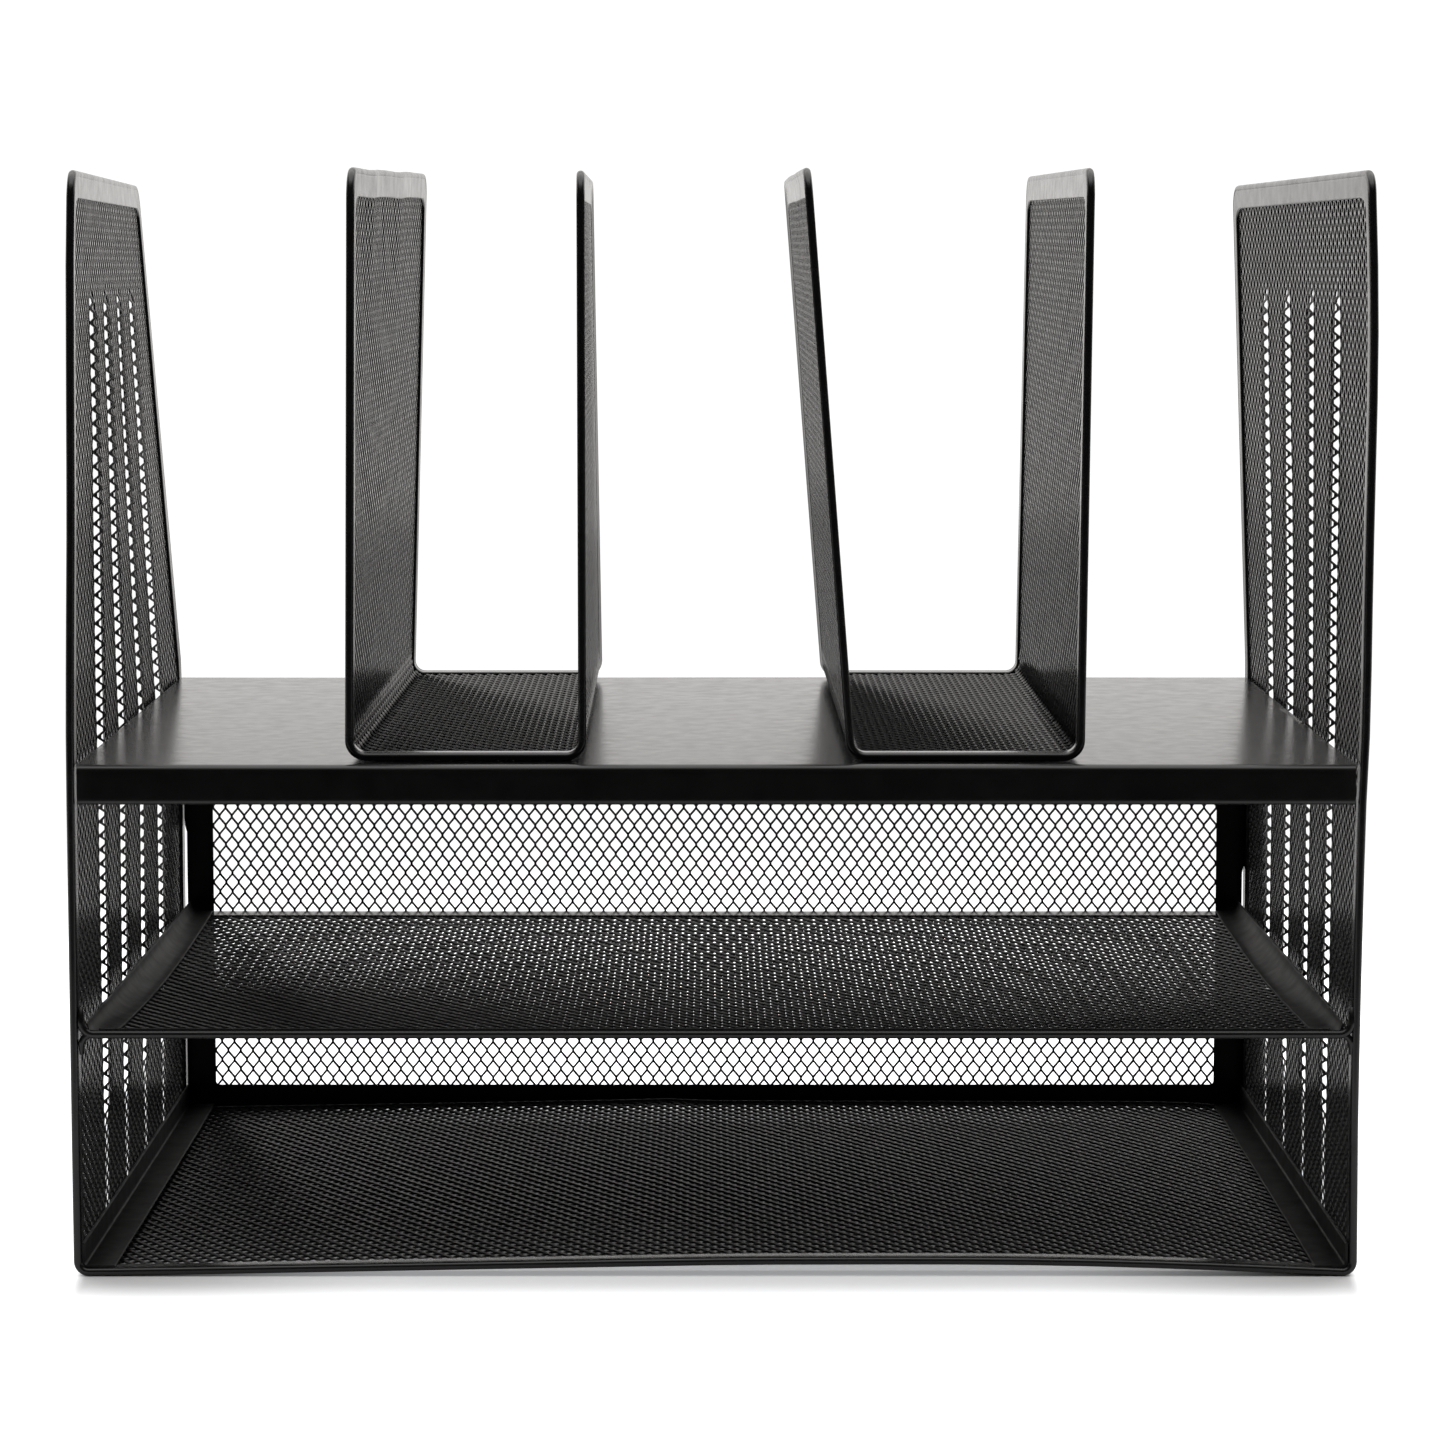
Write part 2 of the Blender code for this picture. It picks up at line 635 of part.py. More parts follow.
# ---------------------------------------------------------------- dividers
DIV_FRONT = -0.1310        # centre line of the divider front wire
DIV_REAR = 0.1330          # centre line of the divider rear wire
DIV_CORNER = 0.0052        # bend radius at the foot of a divider
DIV_BORDER_SIDE = 0.0058
DIV_BORDER_TOP = 0.0098
DIV_HEM = 0.0018           # thickness of the folded border
DIV_CUTS = [0.030, 0.060, 0.090, 0.120, 0.150]  # wing samples, down from the top

# name, then the left and the right wing's centre line x at
# front bottom, front top, rear bottom, rear top
DIVIDERS = (
    ("divider_1", (-0.1198, -0.1177, -0.1182, -0.1122), (-0.0437, -0.0437, -0.0457, -0.0487)),
    ("divider_2", (0.0441, 0.0293, 0.0417, 0.0268), (0.1188, 0.1206, 0.1164, 0.1195)),
)


def divider_wing(corners):
    front_low, front_top, rear_low, rear_top = corners

    def wing_x(y, z):
        rearward = (y - DIV_FRONT) / (DIV_REAR - DIV_FRONT)
        upward = (z - SHELF_FRONT_Z) / (TOP - SHELF_FRONT_Z)
        return ((1 - rearward) * (front_low + (front_top - front_low) * upward)
                + rearward * (rear_low + (rear_top - rear_low) * upward))
    return wing_x


def build_divider_pieces(prefix, left, right):
    sheet = BentSheet(divider_wing(left), divider_wing(right),
                      lambda y: shelf_z(y) + RIM_CLEAR, DIV_CORNER)
    length = sheet.length
    stops = sheet.stops(DIV_CUTS)

    rim = rounded_outline(0.0, length, DIV_FRONT, DIV_REAR, WING_CORNER, stops,
                          RIM_CORNER_STEPS)
    wire = wire_solid(prefix + "_rim_wire", [sheet.point(*at) for at in rim],
                      WIRE_R, True, WIRE_BLACK)

    outer = rounded_outline(RIM_CLEAR, length - RIM_CLEAR, DIV_FRONT + RIM_CLEAR,
                            DIV_REAR - RIM_CLEAR, WING_CORNER - RIM_CLEAR, stops,
                            BORDER_CORNER_STEPS)
    inner = rounded_outline(DIV_BORDER_TOP, length - DIV_BORDER_TOP,
                            DIV_FRONT + DIV_BORDER_SIDE, DIV_REAR - DIV_BORDER_SIDE,
                            INNER_CORNER, stops, BORDER_CORNER_STEPS)
    border = band_solid(prefix + "_border", sheet.point, outer, inner, DIV_HEM, True,
                        BORDER_BLACK)

    mesh_top = DIV_BORDER_TOP + GAP
    mesh_side = DIV_BORDER_SIDE + GAP
    mesh = sheet_solid(prefix + "_mesh", sheet.point,
                       merged([mesh_top, length - mesh_top] + stops),
                       spread(DIV_FRONT + mesh_side, DIV_REAR - mesh_side, 6),
                       SHEET, MESH_BLACK)
    return wire, border, mesh


def build_divider(prefix, left, right):
    """Loose divider; its pieces hang from an empty at the middle of its foot."""
    pieces = build_divider_pieces(prefix, left, right)
    slide = bpy.data.objects.new(prefix + "_slide", None)
    bpy.context.scene.collection.objects.link(slide)
    origin = Vector((0.5 * (left[0] + right[0]) + X_ORIGIN, 0.0, shelf_z(0.0)))
    slide.location = origin
    for piece in pieces:
        for vertex in piece.data.vertices:
            vertex.co -= origin
        piece.parent = slide


# ---------------------------------------------------------------- build
for old_object in list(bpy.data.objects):
    bpy.data.objects.remove(old_object, do_unlink=True)

MESH_BLACK = make_material("black_mesh", colour=(0.016, 0.016, 0.016), roughness=0.38)
WIRE_BLACK = make_material("black_wire", colour=(0.010, 0.010, 0.010), roughness=0.28)
SHEET_BLACK = make_material("black_sheet", colour=(0.012, 0.012, 0.012), roughness=0.32)
BORDER_BLACK = make_material("black_border", colour=(0.013, 0.013, 0.012), roughness=0.26)

plain_shell = make_shell(ribs=False)
build_shell_rim(plain_shell)
build_end_borders(plain_shell)
build_end_meshes()
build_shell_floor(plain_shell)
build_corner_angles()

build_tray_sheets()
tray_strips = build_tray_strips()
build_tray_wire()

shelf_panel = build_shelf()
cut_rib_clearance([shelf_panel] + tray_strips)
build_rear_panel()

for divider in DIVIDERS:
    build_divider(*divider)
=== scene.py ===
# Desktop file sorter in black gloss enamel: expanded-metal shell, two letter trays,
# sheet shelf and two loose dividers. It stands on z = 0 and opens to the front (-y);
# left is -x.
#
# The shell and the dividers are each one bent sheet of expanded metal, with a hem
# folded over its edges and a round rim wire. A place on a bent sheet is (s, y): s runs
# from the top of the left wing down, across the floor and up the right wing; y runs
# from front to rear.

import math

import bmesh
import bpy
import numpy as np
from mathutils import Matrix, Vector


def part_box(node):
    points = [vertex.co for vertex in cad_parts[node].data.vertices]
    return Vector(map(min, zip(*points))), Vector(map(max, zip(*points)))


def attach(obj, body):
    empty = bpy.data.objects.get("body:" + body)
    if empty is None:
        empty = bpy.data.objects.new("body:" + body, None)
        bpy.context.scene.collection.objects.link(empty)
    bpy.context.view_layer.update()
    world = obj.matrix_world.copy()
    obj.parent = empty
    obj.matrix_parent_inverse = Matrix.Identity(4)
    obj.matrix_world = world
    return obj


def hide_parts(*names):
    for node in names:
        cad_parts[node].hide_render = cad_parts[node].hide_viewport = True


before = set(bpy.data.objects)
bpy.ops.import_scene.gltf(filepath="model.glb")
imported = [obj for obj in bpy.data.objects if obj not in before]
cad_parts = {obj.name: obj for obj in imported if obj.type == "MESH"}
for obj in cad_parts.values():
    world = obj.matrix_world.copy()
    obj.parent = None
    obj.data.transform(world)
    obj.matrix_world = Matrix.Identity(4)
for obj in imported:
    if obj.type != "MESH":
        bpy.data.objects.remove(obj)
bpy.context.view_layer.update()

# ---------------------------------------------------------------- dimensions
MM = 0.001

# shell
WIRE_R = 1.35 * MM
rim_lo, rim_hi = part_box("shell_rim_wire")
FRONT = rim_lo.y + WIRE_R              # centre lines of the rim wire
REAR = rim_hi.y - WIRE_R
TOP = rim_hi.z - WIRE_R
FLOOR = WIRE_R
foot_lo, foot_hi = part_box("bottom_front_hem")
X0 = 0.5 * (foot_lo.x + foot_hi.x) + 0.03 * MM   # middle of the shell
SHELL_HALF = 209.0 * MM
REAR_TAPER = 2.5 * MM                  # the right wing stands this much further in at the rear
LEAN_START = 170.2 * MM                # the wings lean above this height
LEAN_LEFT = (2.6 * MM, -14.4 * MM)     # x shift of the wing's top: front, rear
LEAN_RIGHT = (2.2 * MM, -7.4 * MM)
SHELL_CORNER = 3.45 * MM               # bend between wing and floor
WING_CORNER = 7.7 * MM                 # rounded upper corners of a wing
SHELL_UNEVEN = 0.18 * MM

# hems
EDGE = 0.55 * MM                       # hems start inside the rim wire
BORDER_SIDE = 6.0 * MM
BORDER_TOP = 7.6 * MM
OPENING_R, OPENING_RY = 4.5 * MM, 11.0 * MM   # rounded corners of the hem's opening
HEM_FOOT = 1.2 * MM                    # the end hems stop this far above the bend

# pressed ribs of the end wings
RIB_FIRST, RIB_PITCH, RIB_COUNT = -72.0 * MM, 49.5 * MM, 4
RIB_HALF, RIB_FLAT, RIB_RISE = 3.6 * MM, 0.7 * MM, 2.1 * MM
RIB_LOW, RIB_HIGH, RIB_RUN_OUT = 37.0 * MM, 322.0 * MM, 10.0 * MM
RIBS = [RIB_FIRST + RIB_PITCH * i for i in range(RIB_COUNT)]

# expanded metal
SHORT, LONG = 4.82 * MM, 7.38 * MM     # mesh pitches
LONG_END = RIB_PITCH / 6.5             # long pitch of the end wings
BOND = 0.42 * MM                       # half length of the bonds
BOND_W = 0.44 * MM                     # half width of a bond
STRAND = 0.34 * MM                     # half width of a strand
REAR_STRAND = 0.39 * MM
BLUNT = 0.50 * MM                      # half width of the square-cut ends of an opening
JITTER, FINE_JITTER, TRAY_JITTER = 0.012 * MM, 0.006 * MM, 0.005 * MM
# half thicknesses, and how far the strands lean like slats
END_H, END_RIB_H = 0.37 * MM, 0.20 * MM
REAR_H = 0.34 * MM
FLOOR_H, FLOOR_TILT = 0.36 * MM, 0.22 * MM
TRAY_H, TRAY_TILT = 0.30 * MM, 0.29 * MM
DIV_H, DIV_TILT, DIV_FLOOR_TILT = 0.38 * MM, 0.02 * MM, 0.52 * MM

# corner angles of the bottom tray
angle_lo, angle_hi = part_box("bottom_left_angle")
ANGLE_WIDE = 12.2 * MM
ANGLE_T = 0.9 * MM
ANGLE_BEND = 1.1 * MM

# middle tray
tray_lo, tray_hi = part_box("middle_tray_mesh")
TRAY_Z = 0.5 * (tray_lo.z + tray_hi.z)
TRAY_WIRE_R = 1.40 * MM
TRAY_WIRE_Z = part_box("middle_front_wire")[0].z + TRAY_WIRE_R
TRAY_HALF = SHELL_HALF - ANGLE_WIDE - REAR_TAPER / 4
TRAY_REAR = 136.4 * MM
TRAY_REAR_HEM = 8.6 * MM

# shelf
shelf_lo, shelf_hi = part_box("shelf_panel")
Z_FRONT, Z_REAR = 168.7 * MM, 171.2 * MM   # top face, at the front and rear rims
SHELF_HALF = 207.3 * MM
SHELF_T = 1.0 * MM

# rear panel
rear_lo, rear_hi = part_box("rear_frame")
PANEL_Y = 0.5 * (rear_lo.y + rear_hi.y)
BAND = 9.2 * MM
LOW_BAR = 7.5 * MM

# dividers
DIV_FRONT, DIV_REAR = -131.0 * MM, 133.0 * MM
DIV_CORNER = 5.2 * MM
DIV_BORDER_SIDE = 5.8 * MM
DIV_BORDER_TOP = 8.0 * MM
DIV_UNEVEN = 0.15 * MM

# ---------------------------------------------------------------- measured tables (mm)
# free front edge of each end wing: heights, then x offsets
FREE_LEFT = ((0, 40, 190, 215, 249, 288, 340, 357),
             (-0.4, -0.5, -0.5, -0.35, -0.1, -0.2, -0.25, 0.2))
FREE_RIGHT = ((0, 18, 56, 95, 133, 153, 162, 172, 191,
               211, 249, 288, 307, 326, 334, 342, 352),
              (-0.2, -0.3, -0.55, -0.25, 0.2, 0.4, 0.9, 1.25, 1.35,
               1.1, 0.87, 0.84, 0.58, 0.0, -0.4, -0.9, -1.4))
# inward steps of the wing across each rib, front to rear
STEP_LEFT = (0.72, 0.58, 0.28, 0.60)
STEP_RIGHT = (0.52, 0.18, 0.64, 0.38)
# how strong those steps are: heights, then shares
STEP_Z = ((34, 45, 70, 150, 185, 250, 272, 305, 318, 326),
          (0, 0.35, 0.55, 0.6, 1.0, 1.0, 0.45, 0.6, 0.4, 0))
# rise of the shell's floor at its front and rear edges: x, then rises
BOW_FRONT = ((-206, -190, -12, 10, 78, 101, 123, 146, 168, 191, 206),
             (0, 0.15, 3.35, 3.7, 3.8, 3.6, 3.2, 2.5, 1.7, 0.6, 0))
BOW_REAR = ((-206, -190, -100, -30, -18, -6, 60, 170, 190, 206),
            (0, 0.3, 1.7, 3.0, 3.5, 2.6, 2.3, 2.2, 1.6, 0))
# x of the divider wings: front foot, front top, rear foot, rear top
LEFT_WING_1, RIGHT_WING_1 = (-119.8, -117.7, -118.2, -112.2), (-43.7, -43.7, -45.7, -48.7)
LEFT_WING_2, RIGHT_WING_2 = (44.1, 29.3, 41.7, 26.8), (118.8, 120.6, 116.4, 119.5)
# section of a folded hem: measured from (o outer edge, i inner edge, m share of the width),
# distance, height towards the inside of the bent sheet. Its inner face runs flush with the
# rim wire and its outer face swells over it.
HEM = [
    ("o", 0.00, 1.12), ("o", 0.30, 1.27), ("o", 0.80, 1.29), ("m", 0.50, 1.27),
    ("i", 1.30, 1.25), ("i", 0.75, 1.23), ("i", 0.40, 1.16), ("i", 0.16, 1.00),
    ("i", 0.03, 0.76), ("i", 0.00, 0.50), ("i", 0.00, 0.0), ("i", 0.00, -0.35),
    ("i", 0.10, -0.52), ("i", 0.45, -0.60), ("i", 1.25, -0.62), ("o", 3.20, -0.64),
    ("o", 2.60, -0.70), ("o", 2.00, -0.82), ("o", 1.40, -0.98), ("o", 0.80, -1.12),
    ("o", 0.35, -1.17), ("o", 0.00, -1.05),
]
# the same for the flat rear frame, whose two faces match
FLAT_FACE = [("o", 0.0, 0.30), ("o", 0.2, 0.55), ("o", 0.7, 0.60), ("i", 0.9, 0.60),
             ("i", 0.5, 0.58), ("i", 0.15, 0.42), ("i", 0.0, 0.0)]
FLAT = FLAT_FACE + [(kind, d, -h) for kind, d, h in reversed(FLAT_FACE[:-1])]


# ---------------------------------------------------------------- small maths
def soft(t):
    t = np.clip(t, 0.0, 1.0)
    return t * t * (3 - 2 * t)


def spread(start, end, n):
    return [start + (end - start) * i / n for i in range(n + 1)]


def mirrored(half, length):
    """Complete a list of s values that runs up to the middle of a sheet."""
    return half + [length - s for s in reversed(half[:-1])]


def quarter_turn(steps):
    return [math.pi / 2 * k / steps for k in range(steps + 1)]


def arc(x, y, r, start, end, steps):
    angles = [math.radians(start + (end - start) * i / steps) for i in range(steps + 1)]
    return [(x + r * math.cos(angle), y + r * math.sin(angle)) for angle in angles]


def smoothed(table, at, step, reach):
    """Read a table with its kinks averaged out."""
    total = sum(np.interp(at + k * step, *table) for k in range(-reach, reach + 1))
    return total / (2 * reach + 1)


def ripple(seed, a, b):
    """Slow unevenness of hand-bent sheet, within about -1..1."""
    rng = np.random.RandomState(seed)
    out = 0.0
    for _ in range(5):
        freq_a, freq_b = rng.uniform(8, 34, 2)
        phase_a, phase_b = rng.uniform(0, 6.28, 2)
        out = out + np.sin(freq_a * a + phase_a) * np.cos(freq_b * b + phase_b)
    return out / 2.6


# ---------------------------------------------------------------- shape of the shell
def along(y):
    """0 at the front rim, 1 at the rear rim."""
    return (y - FRONT) / (REAR - FRONT)


def end_x(side, y, z):
    """x of an end wing from the middle of the shell; side is -1 left, 1 right."""
    t = along(y)
    up = np.maximum(0.0, (z - LEAN_START) / (TOP - LEAN_START))
    lean = LEAN_LEFT if side < 0 else LEAN_RIGHT
    base = -SHELL_HALF if side < 0 else SHELL_HALF - REAR_TAPER * t
    free = FREE_LEFT if side < 0 else FREE_RIGHT
    wander = smoothed(free, z / MM, step=4, reach=1) * MM
    return base + up * ((1 - t) * lean[0] + t * lean[1]) + wander * (1 - t) ** 2


def rib_rise(y, z):
    """Straight-sided ridges with narrow rounded crests."""
    run_out = np.minimum((z - RIB_LOW) / RIB_RUN_OUT, (RIB_HIGH - z) / RIB_RUN_OUT)
    ridges = 0.0
    for crest in RIBS:
        slope = np.clip((RIB_HALF - np.abs(y - crest)) / (RIB_HALF - RIB_FLAT), 0, 1)
        ridges = ridges + (0.8 * slope + 0.2 * soft(slope))
    return RIB_RISE * np.clip(run_out, 0, 1) * ridges


def rib_step(side, y, z):
    """The sheet steps in a little at each rib and falls back before the next."""
    held = 8 * MM
    knots = [crest + d for crest in RIBS for d in (-RIB_HALF, RIB_HALF)]
    knots = [FRONT + held] + knots + [REAR - held]

    def drift(steps):
        return np.interp(y, knots, [0.0] + [d * step for step in steps for d in (-1, 1)] + [0.0])

    across = np.where(side < 0, drift(STEP_LEFT), drift(STEP_RIGHT))
    return across * np.interp(z / MM, *STEP_Z) * MM


def floor_bow(x, y):
    """The sheet stands on its two bends and rises a little between them."""
    front = smoothed(BOW_FRONT, x / MM, step=7, reach=2)
    rear = smoothed(BOW_REAR, x / MM, step=4, reach=1)
    t = along(y)
    edge = soft((SHELL_HALF - SHELL_CORNER - np.abs(x)) / (10 * MM))
    return ((1 - t) * front + t * rear) * MM * edge


def shelf_z(y):
    return Z_FRONT + (Z_REAR - Z_FRONT) * along(y)


class BentSheet:
    """Two wings and a floor. left and right give x at (y, z), floor gives z at y;
    shape shifts the wings by (dx, dz), bow raises the floor."""

    def __init__(self, left, right, floor, corner, seed, uneven,
                 ribs=False, shape=None, bow=None):
        self.left, self.right, self.floor, self.corner = left, right, floor, corner
        self.seed, self.uneven, self.ribs, self.shape, self.bow = seed, uneven, ribs, shape, bow
        z = float(floor(0.0))
        self.wing = TOP - z - corner
        self.arc = corner * math.pi / 2
        self.flat = float(right(0.0, z) - left(0.0, z)) - 2 * corner
        self.length = 2 * self.wing + 2 * self.arc + self.flat

    def point(self, s, y):
        s, y = np.broadcast_arrays(np.asarray(s, float), np.asarray(y, float))
        floor_z = self.floor(y) + 0.0 * s
        bend_z = floor_z + self.corner
        right = s > self.length / 2
        down = np.where(right, self.length - s, s)     # distance from the nearer top edge
        side = np.where(right, 1.0, -1.0)

        wing_z = TOP - down * (TOP - bend_z) / self.wing
        wing_x = np.where(right, self.right(y, wing_z), self.left(y, wing_z))
        if self.ribs:
            wing_x = wing_x - side * (rib_rise(y, wing_z) + rib_step(side, y, wing_z))
        if self.shape is not None:
            dx, dz = self.shape(side, y, wing_z)
            wing_x, wing_z = wing_x + dx, wing_z + dz

        left_foot, right_foot = self.left(y, bend_z), self.right(y, bend_z)
        foot = np.where(right, right_foot, left_foot)
        angle = np.clip((down - self.wing) / self.arc, 0, 1) * math.pi / 2
        bend_x = foot - side * self.corner * (1 - np.cos(angle))
        bend_down_z = bend_z - self.corner * np.sin(angle)

        inner = foot - side * self.corner
        share = (down - self.wing - self.arc) / (self.flat / 2)
        floor_x = inner + (0.5 * (left_foot + right_foot) - inner) * share

        on_wing, off_floor = down <= self.wing, down <= self.wing + self.arc
        x = np.where(on_wing, wing_x, np.where(off_floor, bend_x, floor_x))
        if self.bow is not None:
            floor_z = floor_z + np.where(share > 0, self.bow(x, y), 0.0)
        z = np.where(on_wing, wing_z, np.where(off_floor, bend_down_z, floor_z))

        # free in the middle of a wing, held by the hems and bends
        free = soft(down / (25 * MM)) * soft((self.wing - down) / (30 * MM))
        free = free * soft((y - (FRONT + 5 * MM)) / (30 * MM))
        free = free * soft((REAR - 5 * MM - y) / (30 * MM))
        x = x + self.uneven * free * ripple(self.seed, y, z + 3.0 * side)
        return np.stack([x + X0, y, z], -1)


# ---------------------------------------------------------------- mesh makers
def normals(surface, u, v):
    e = 2e-5
    du = surface(u + e, v) - surface(u - e, v)
    dv = surface(u, v + e) - surface(u, v - e)
    n = np.cross(du, dv)
    return n / np.linalg.norm(n, axis=-1, keepdims=True)


def new_object(name, verts, faces, mat, uv=None, sharp=None):
    """uv is given per vertex; without it the two longest sides of the piece are used."""
    mesh = bpy.data.meshes.new(name)
    mesh.from_pydata(np.asarray(verts, float).reshape(-1, 3).tolist(), [], faces)
    mesh.polygons.foreach_set("use_smooth", [True] * len(mesh.polygons))
    if sharp is not None:
        mesh.set_sharp_from_angle(angle=math.radians(sharp))
    mesh.materials.append(mat)
    layer = mesh.uv_layers.new(name="OFBake")
    if uv is None:
        co = np.empty(len(mesh.vertices) * 3, np.float32)
        mesh.vertices.foreach_get("co", co)
        co = co.reshape(-1, 3)
        lo, hi = co.min(0), co.max(0)
        longest = np.argsort(hi - lo)[::-1][:2]
        uv = np.stack([(co[:, k] - lo[k]) / max(hi[k] - lo[k], 1e-6) for k in longest], -1)
    index = np.empty(len(mesh.loops), np.int32)
    mesh.loops.foreach_get("vertex_index", index)
    # a narrow margin keeps the map off the border
    layer.data.foreach_set(
        "uv", (np.clip(uv[index], 0, 1) * 0.996 + 0.002).astype(np.float32).ravel())
    ob = bpy.data.objects.new(name, mesh)
    bpy.context.scene.collection.objects.link(ob)
    return ob


def place(ob, body, slot, *replaced):
    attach(ob, body)
    if replaced:
        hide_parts(*replaced)


def ring_faces(rings, count, closed=False):
    """Quads between successive rings of `count` vertices."""
    faces = []
    for i in range(rings if closed else rings - 1):
        j = (i + 1) % rings
        for a in range(count):
            b = (a + 1) % count
            faces.append((i * count + a, i * count + b, j * count + b, j * count + a))
    return faces


def ringed_solid(name, verts, rings, count, mat, sharp, closed=False):
    """A closed piece through rings of vertices, with one consistent outside."""
    faces = ring_faces(rings, count, closed)
    if not closed:
        faces.append(tuple(range(count)))
        faces.append(tuple((rings - 1) * count + a for a in range(count)))
    ob = new_object(name, verts, faces, mat, sharp=sharp)
    bm = bmesh.new()
    bm.from_mesh(ob.data)
    bmesh.ops.recalc_face_normals(bm, faces=bm.faces)
    bm.to_mesh(ob.data)
    bm.free()
    return ob


def field(value, u, v):
    return value(u, v) if callable(value) else np.full_like(u, value)


def opening_corners(half_u, half_v, strand, blunt):
    """Corners of one opening, clockwise from its far end: names, places (u, v) and how
    much each corner leans when the strands tilt."""
    # the centre line of a strand falls from (0, half_v - BOND) to (half_u, BOND);
    # the opening's edge runs half a strand inside it
    run, fall = half_u, 2 * BOND - half_v
    length = math.hypot(run, fall)
    run, fall = run / length, fall / length
    edge_u = -abs(fall) * strand
    edge_v = half_v - BOND - abs(run) * strand

    def v_at(u):
        return edge_v + fall * (u - edge_u) / run

    u_side = half_u - BOND_W
    v_side = v_at(u_side)
    v_end = v_at(blunt)
    if blunt > 0:
        table = [("far", -blunt, v_end, 0.2), ("far_b", blunt, v_end, -0.2),
                 ("right_far", u_side, v_side, -1.0), ("right_near", u_side, -v_side, -1.0),
                 ("near_b", blunt, -v_end, -0.2), ("near", -blunt, -v_end, 0.2),
                 ("left_near", -u_side, -v_side, 1.0), ("left_far", -u_side, v_side, 1.0)]
    else:
        table = [("far", 0.0, v_end, 0.0),
                 ("right_far", u_side, v_side, -1.0), ("right_near", u_side, -v_side, -1.0),
                 ("near", 0.0, -v_end, 0.0),
                 ("left_near", -u_side, -v_side, 1.0), ("left_far", -u_side, v_side, 1.0)]
    index = {row[0]: k for k, row in enumerate(table)}
    # a pointed end is one corner where a square-cut one is two
    index.setdefault("far_b", index["far"])
    index.setdefault("near_b", index["near"])
    return index, [row[1:3] for row in table], [row[3] for row in table]


def expanded(name, surface, u0, u1, v0, v1, mat, seed, half_thick, tilt=0.0, strand=STRAND,
             long=LONG, phase=0.0, jitter=JITTER, blunt=0.0, under_u=1.8 * MM, under_v=1.6 * MM):
    """Expanded metal over surface(u, v): u across the diamonds, v along them. u0..v1 are
    the hem edges; the strands run on by under_u and under_v below the hems. Strands have
    flat faces and square cut sides. half_thick and tilt are numbers or functions of (u, v)."""
    half_u, half_v = SHORT / 2, long / 2
    mid_u, mid_v = 0.5 * (u0 + u1), 0.5 * (v0 + v1) + phase * long
    p0, p1 = math.ceil((u0 - under_u - mid_u) / half_u), math.floor((u1 + under_u - mid_u) / half_u)
    q0, q1 = math.ceil((v0 - under_v - mid_v) / half_v), math.floor((v1 + under_v - mid_v) / half_v)
    # openings sit on every second place of a half-pitch grid
    p, q = np.meshgrid(np.arange(p0 - 2, p1 + 3), np.arange(q0 - 2, q1 + 3), indexing="ij")
    is_cell = (p + q) % 2 == 0
    is_open = is_cell & (p >= p0) & (p <= p1) & (q >= q0) & (q <= q1)
    corner, places, leans = opening_corners(half_u, half_v, strand, blunt)
    corners, cells = len(places), int(is_cell.sum())
    first = np.full(p.shape, -1)           # index of a cell's first corner
    first[is_cell] = np.arange(cells) * corners

    rng = np.random.RandomState(seed)
    off_u = rng.normal(0, jitter, (corners, cells))
    off_v = rng.normal(0, 1.4 * jitter, (corners, cells))
    u = np.stack([mid_u + p[is_cell] * half_u + a for a, b in places]) + off_u
    v = np.stack([mid_v + q[is_cell] * half_v + b for a, b in places]) + off_v
    u, v = u.T.ravel(), v.T.ravel()

    def neighbour(dp, dq):
        window = (slice(2 + dp, 2 + dp + p.shape[0]), slice(2 + dq, 2 + dq + p.shape[1]))
        return np.pad(first, 2, constant_values=-1)[window], np.pad(is_open, 2)[window]

    def polygons(keep, *parts):
        return np.stack([cell[keep] + corner[which] for cell, which in parts], -1)

    far, far_open = neighbour(1, 1)
    near, near_open = neighbour(1, -1)
    right, right_open = neighbour(2, 0)
    strands = np.concatenate([
        polygons(is_cell & (far >= 0) & (is_open | far_open),
                 (first, "far_b"), (first, "right_far"), (far, "near"), (far, "left_near")),
        polygons(is_cell & (near >= 0) & (is_open | near_open),
                 (first, "near_b"), (near, "left_far"), (near, "far"), (first, "right_near"))])
    around = [(right, "left_near"), (right, "left_far"), (far, "near_b"), (far, "near"),
              (first, "right_far"), (first, "right_near"), (near, "far"), (near, "far_b")]
    if blunt <= 0:
        around = [part for part in around if not part[1].endswith("_b")]
    bonds = polygons(is_cell & (far >= 0) & (near >= 0) & (right >= 0)
                     & (is_open | far_open | near_open | right_open), *around)

    # cut sides stand on the edges that belong to one polygon only
    edges = np.concatenate([np.stack([f[:, i], f[:, (i + 1) % f.shape[1]]], -1)
                            for f in (strands, bonds) for i in range(f.shape[1])])
    total = corners * cells
    ends = np.sort(edges, 1)
    code = ends[:, 0].astype(np.int64) * total + ends[:, 1]
    _, where, count = np.unique(code, return_index=True, return_counts=True)
    cut = edges[where[count == 1]]
    sides = np.stack([cut[:, 1], cut[:, 0], cut[:, 0] + total, cut[:, 1] + total], -1)

    used = np.unique(np.concatenate([strands.ravel(), bonds.ravel()]))
    used = np.concatenate([used, used + total])
    renumber = np.full(2 * total, -1)
    renumber[used] = np.arange(len(used))
    normal, middle = normals(surface, u, v), surface(u, v)
    lean = (np.tile(leans, cells) * field(tilt, u, v))[:, None]
    half = field(half_thick, u, v)[:, None]
    verts = np.concatenate([middle + normal * (lean + half), middle + normal * (lean - half)])[used]
    faces = []
    for f in (strands, strands[:, ::-1] + total, sides, bonds, bonds[:, ::-1] + total):
        faces += renumber[f].tolist()
    uv = [np.concatenate([w, w])[used] for w in (u, v)]
    uv = np.stack([(w - w.min()) / (w.max() - w.min()) for w in uv], -1)
    return new_object(name, verts, faces, mat, uv=uv, sharp=55)


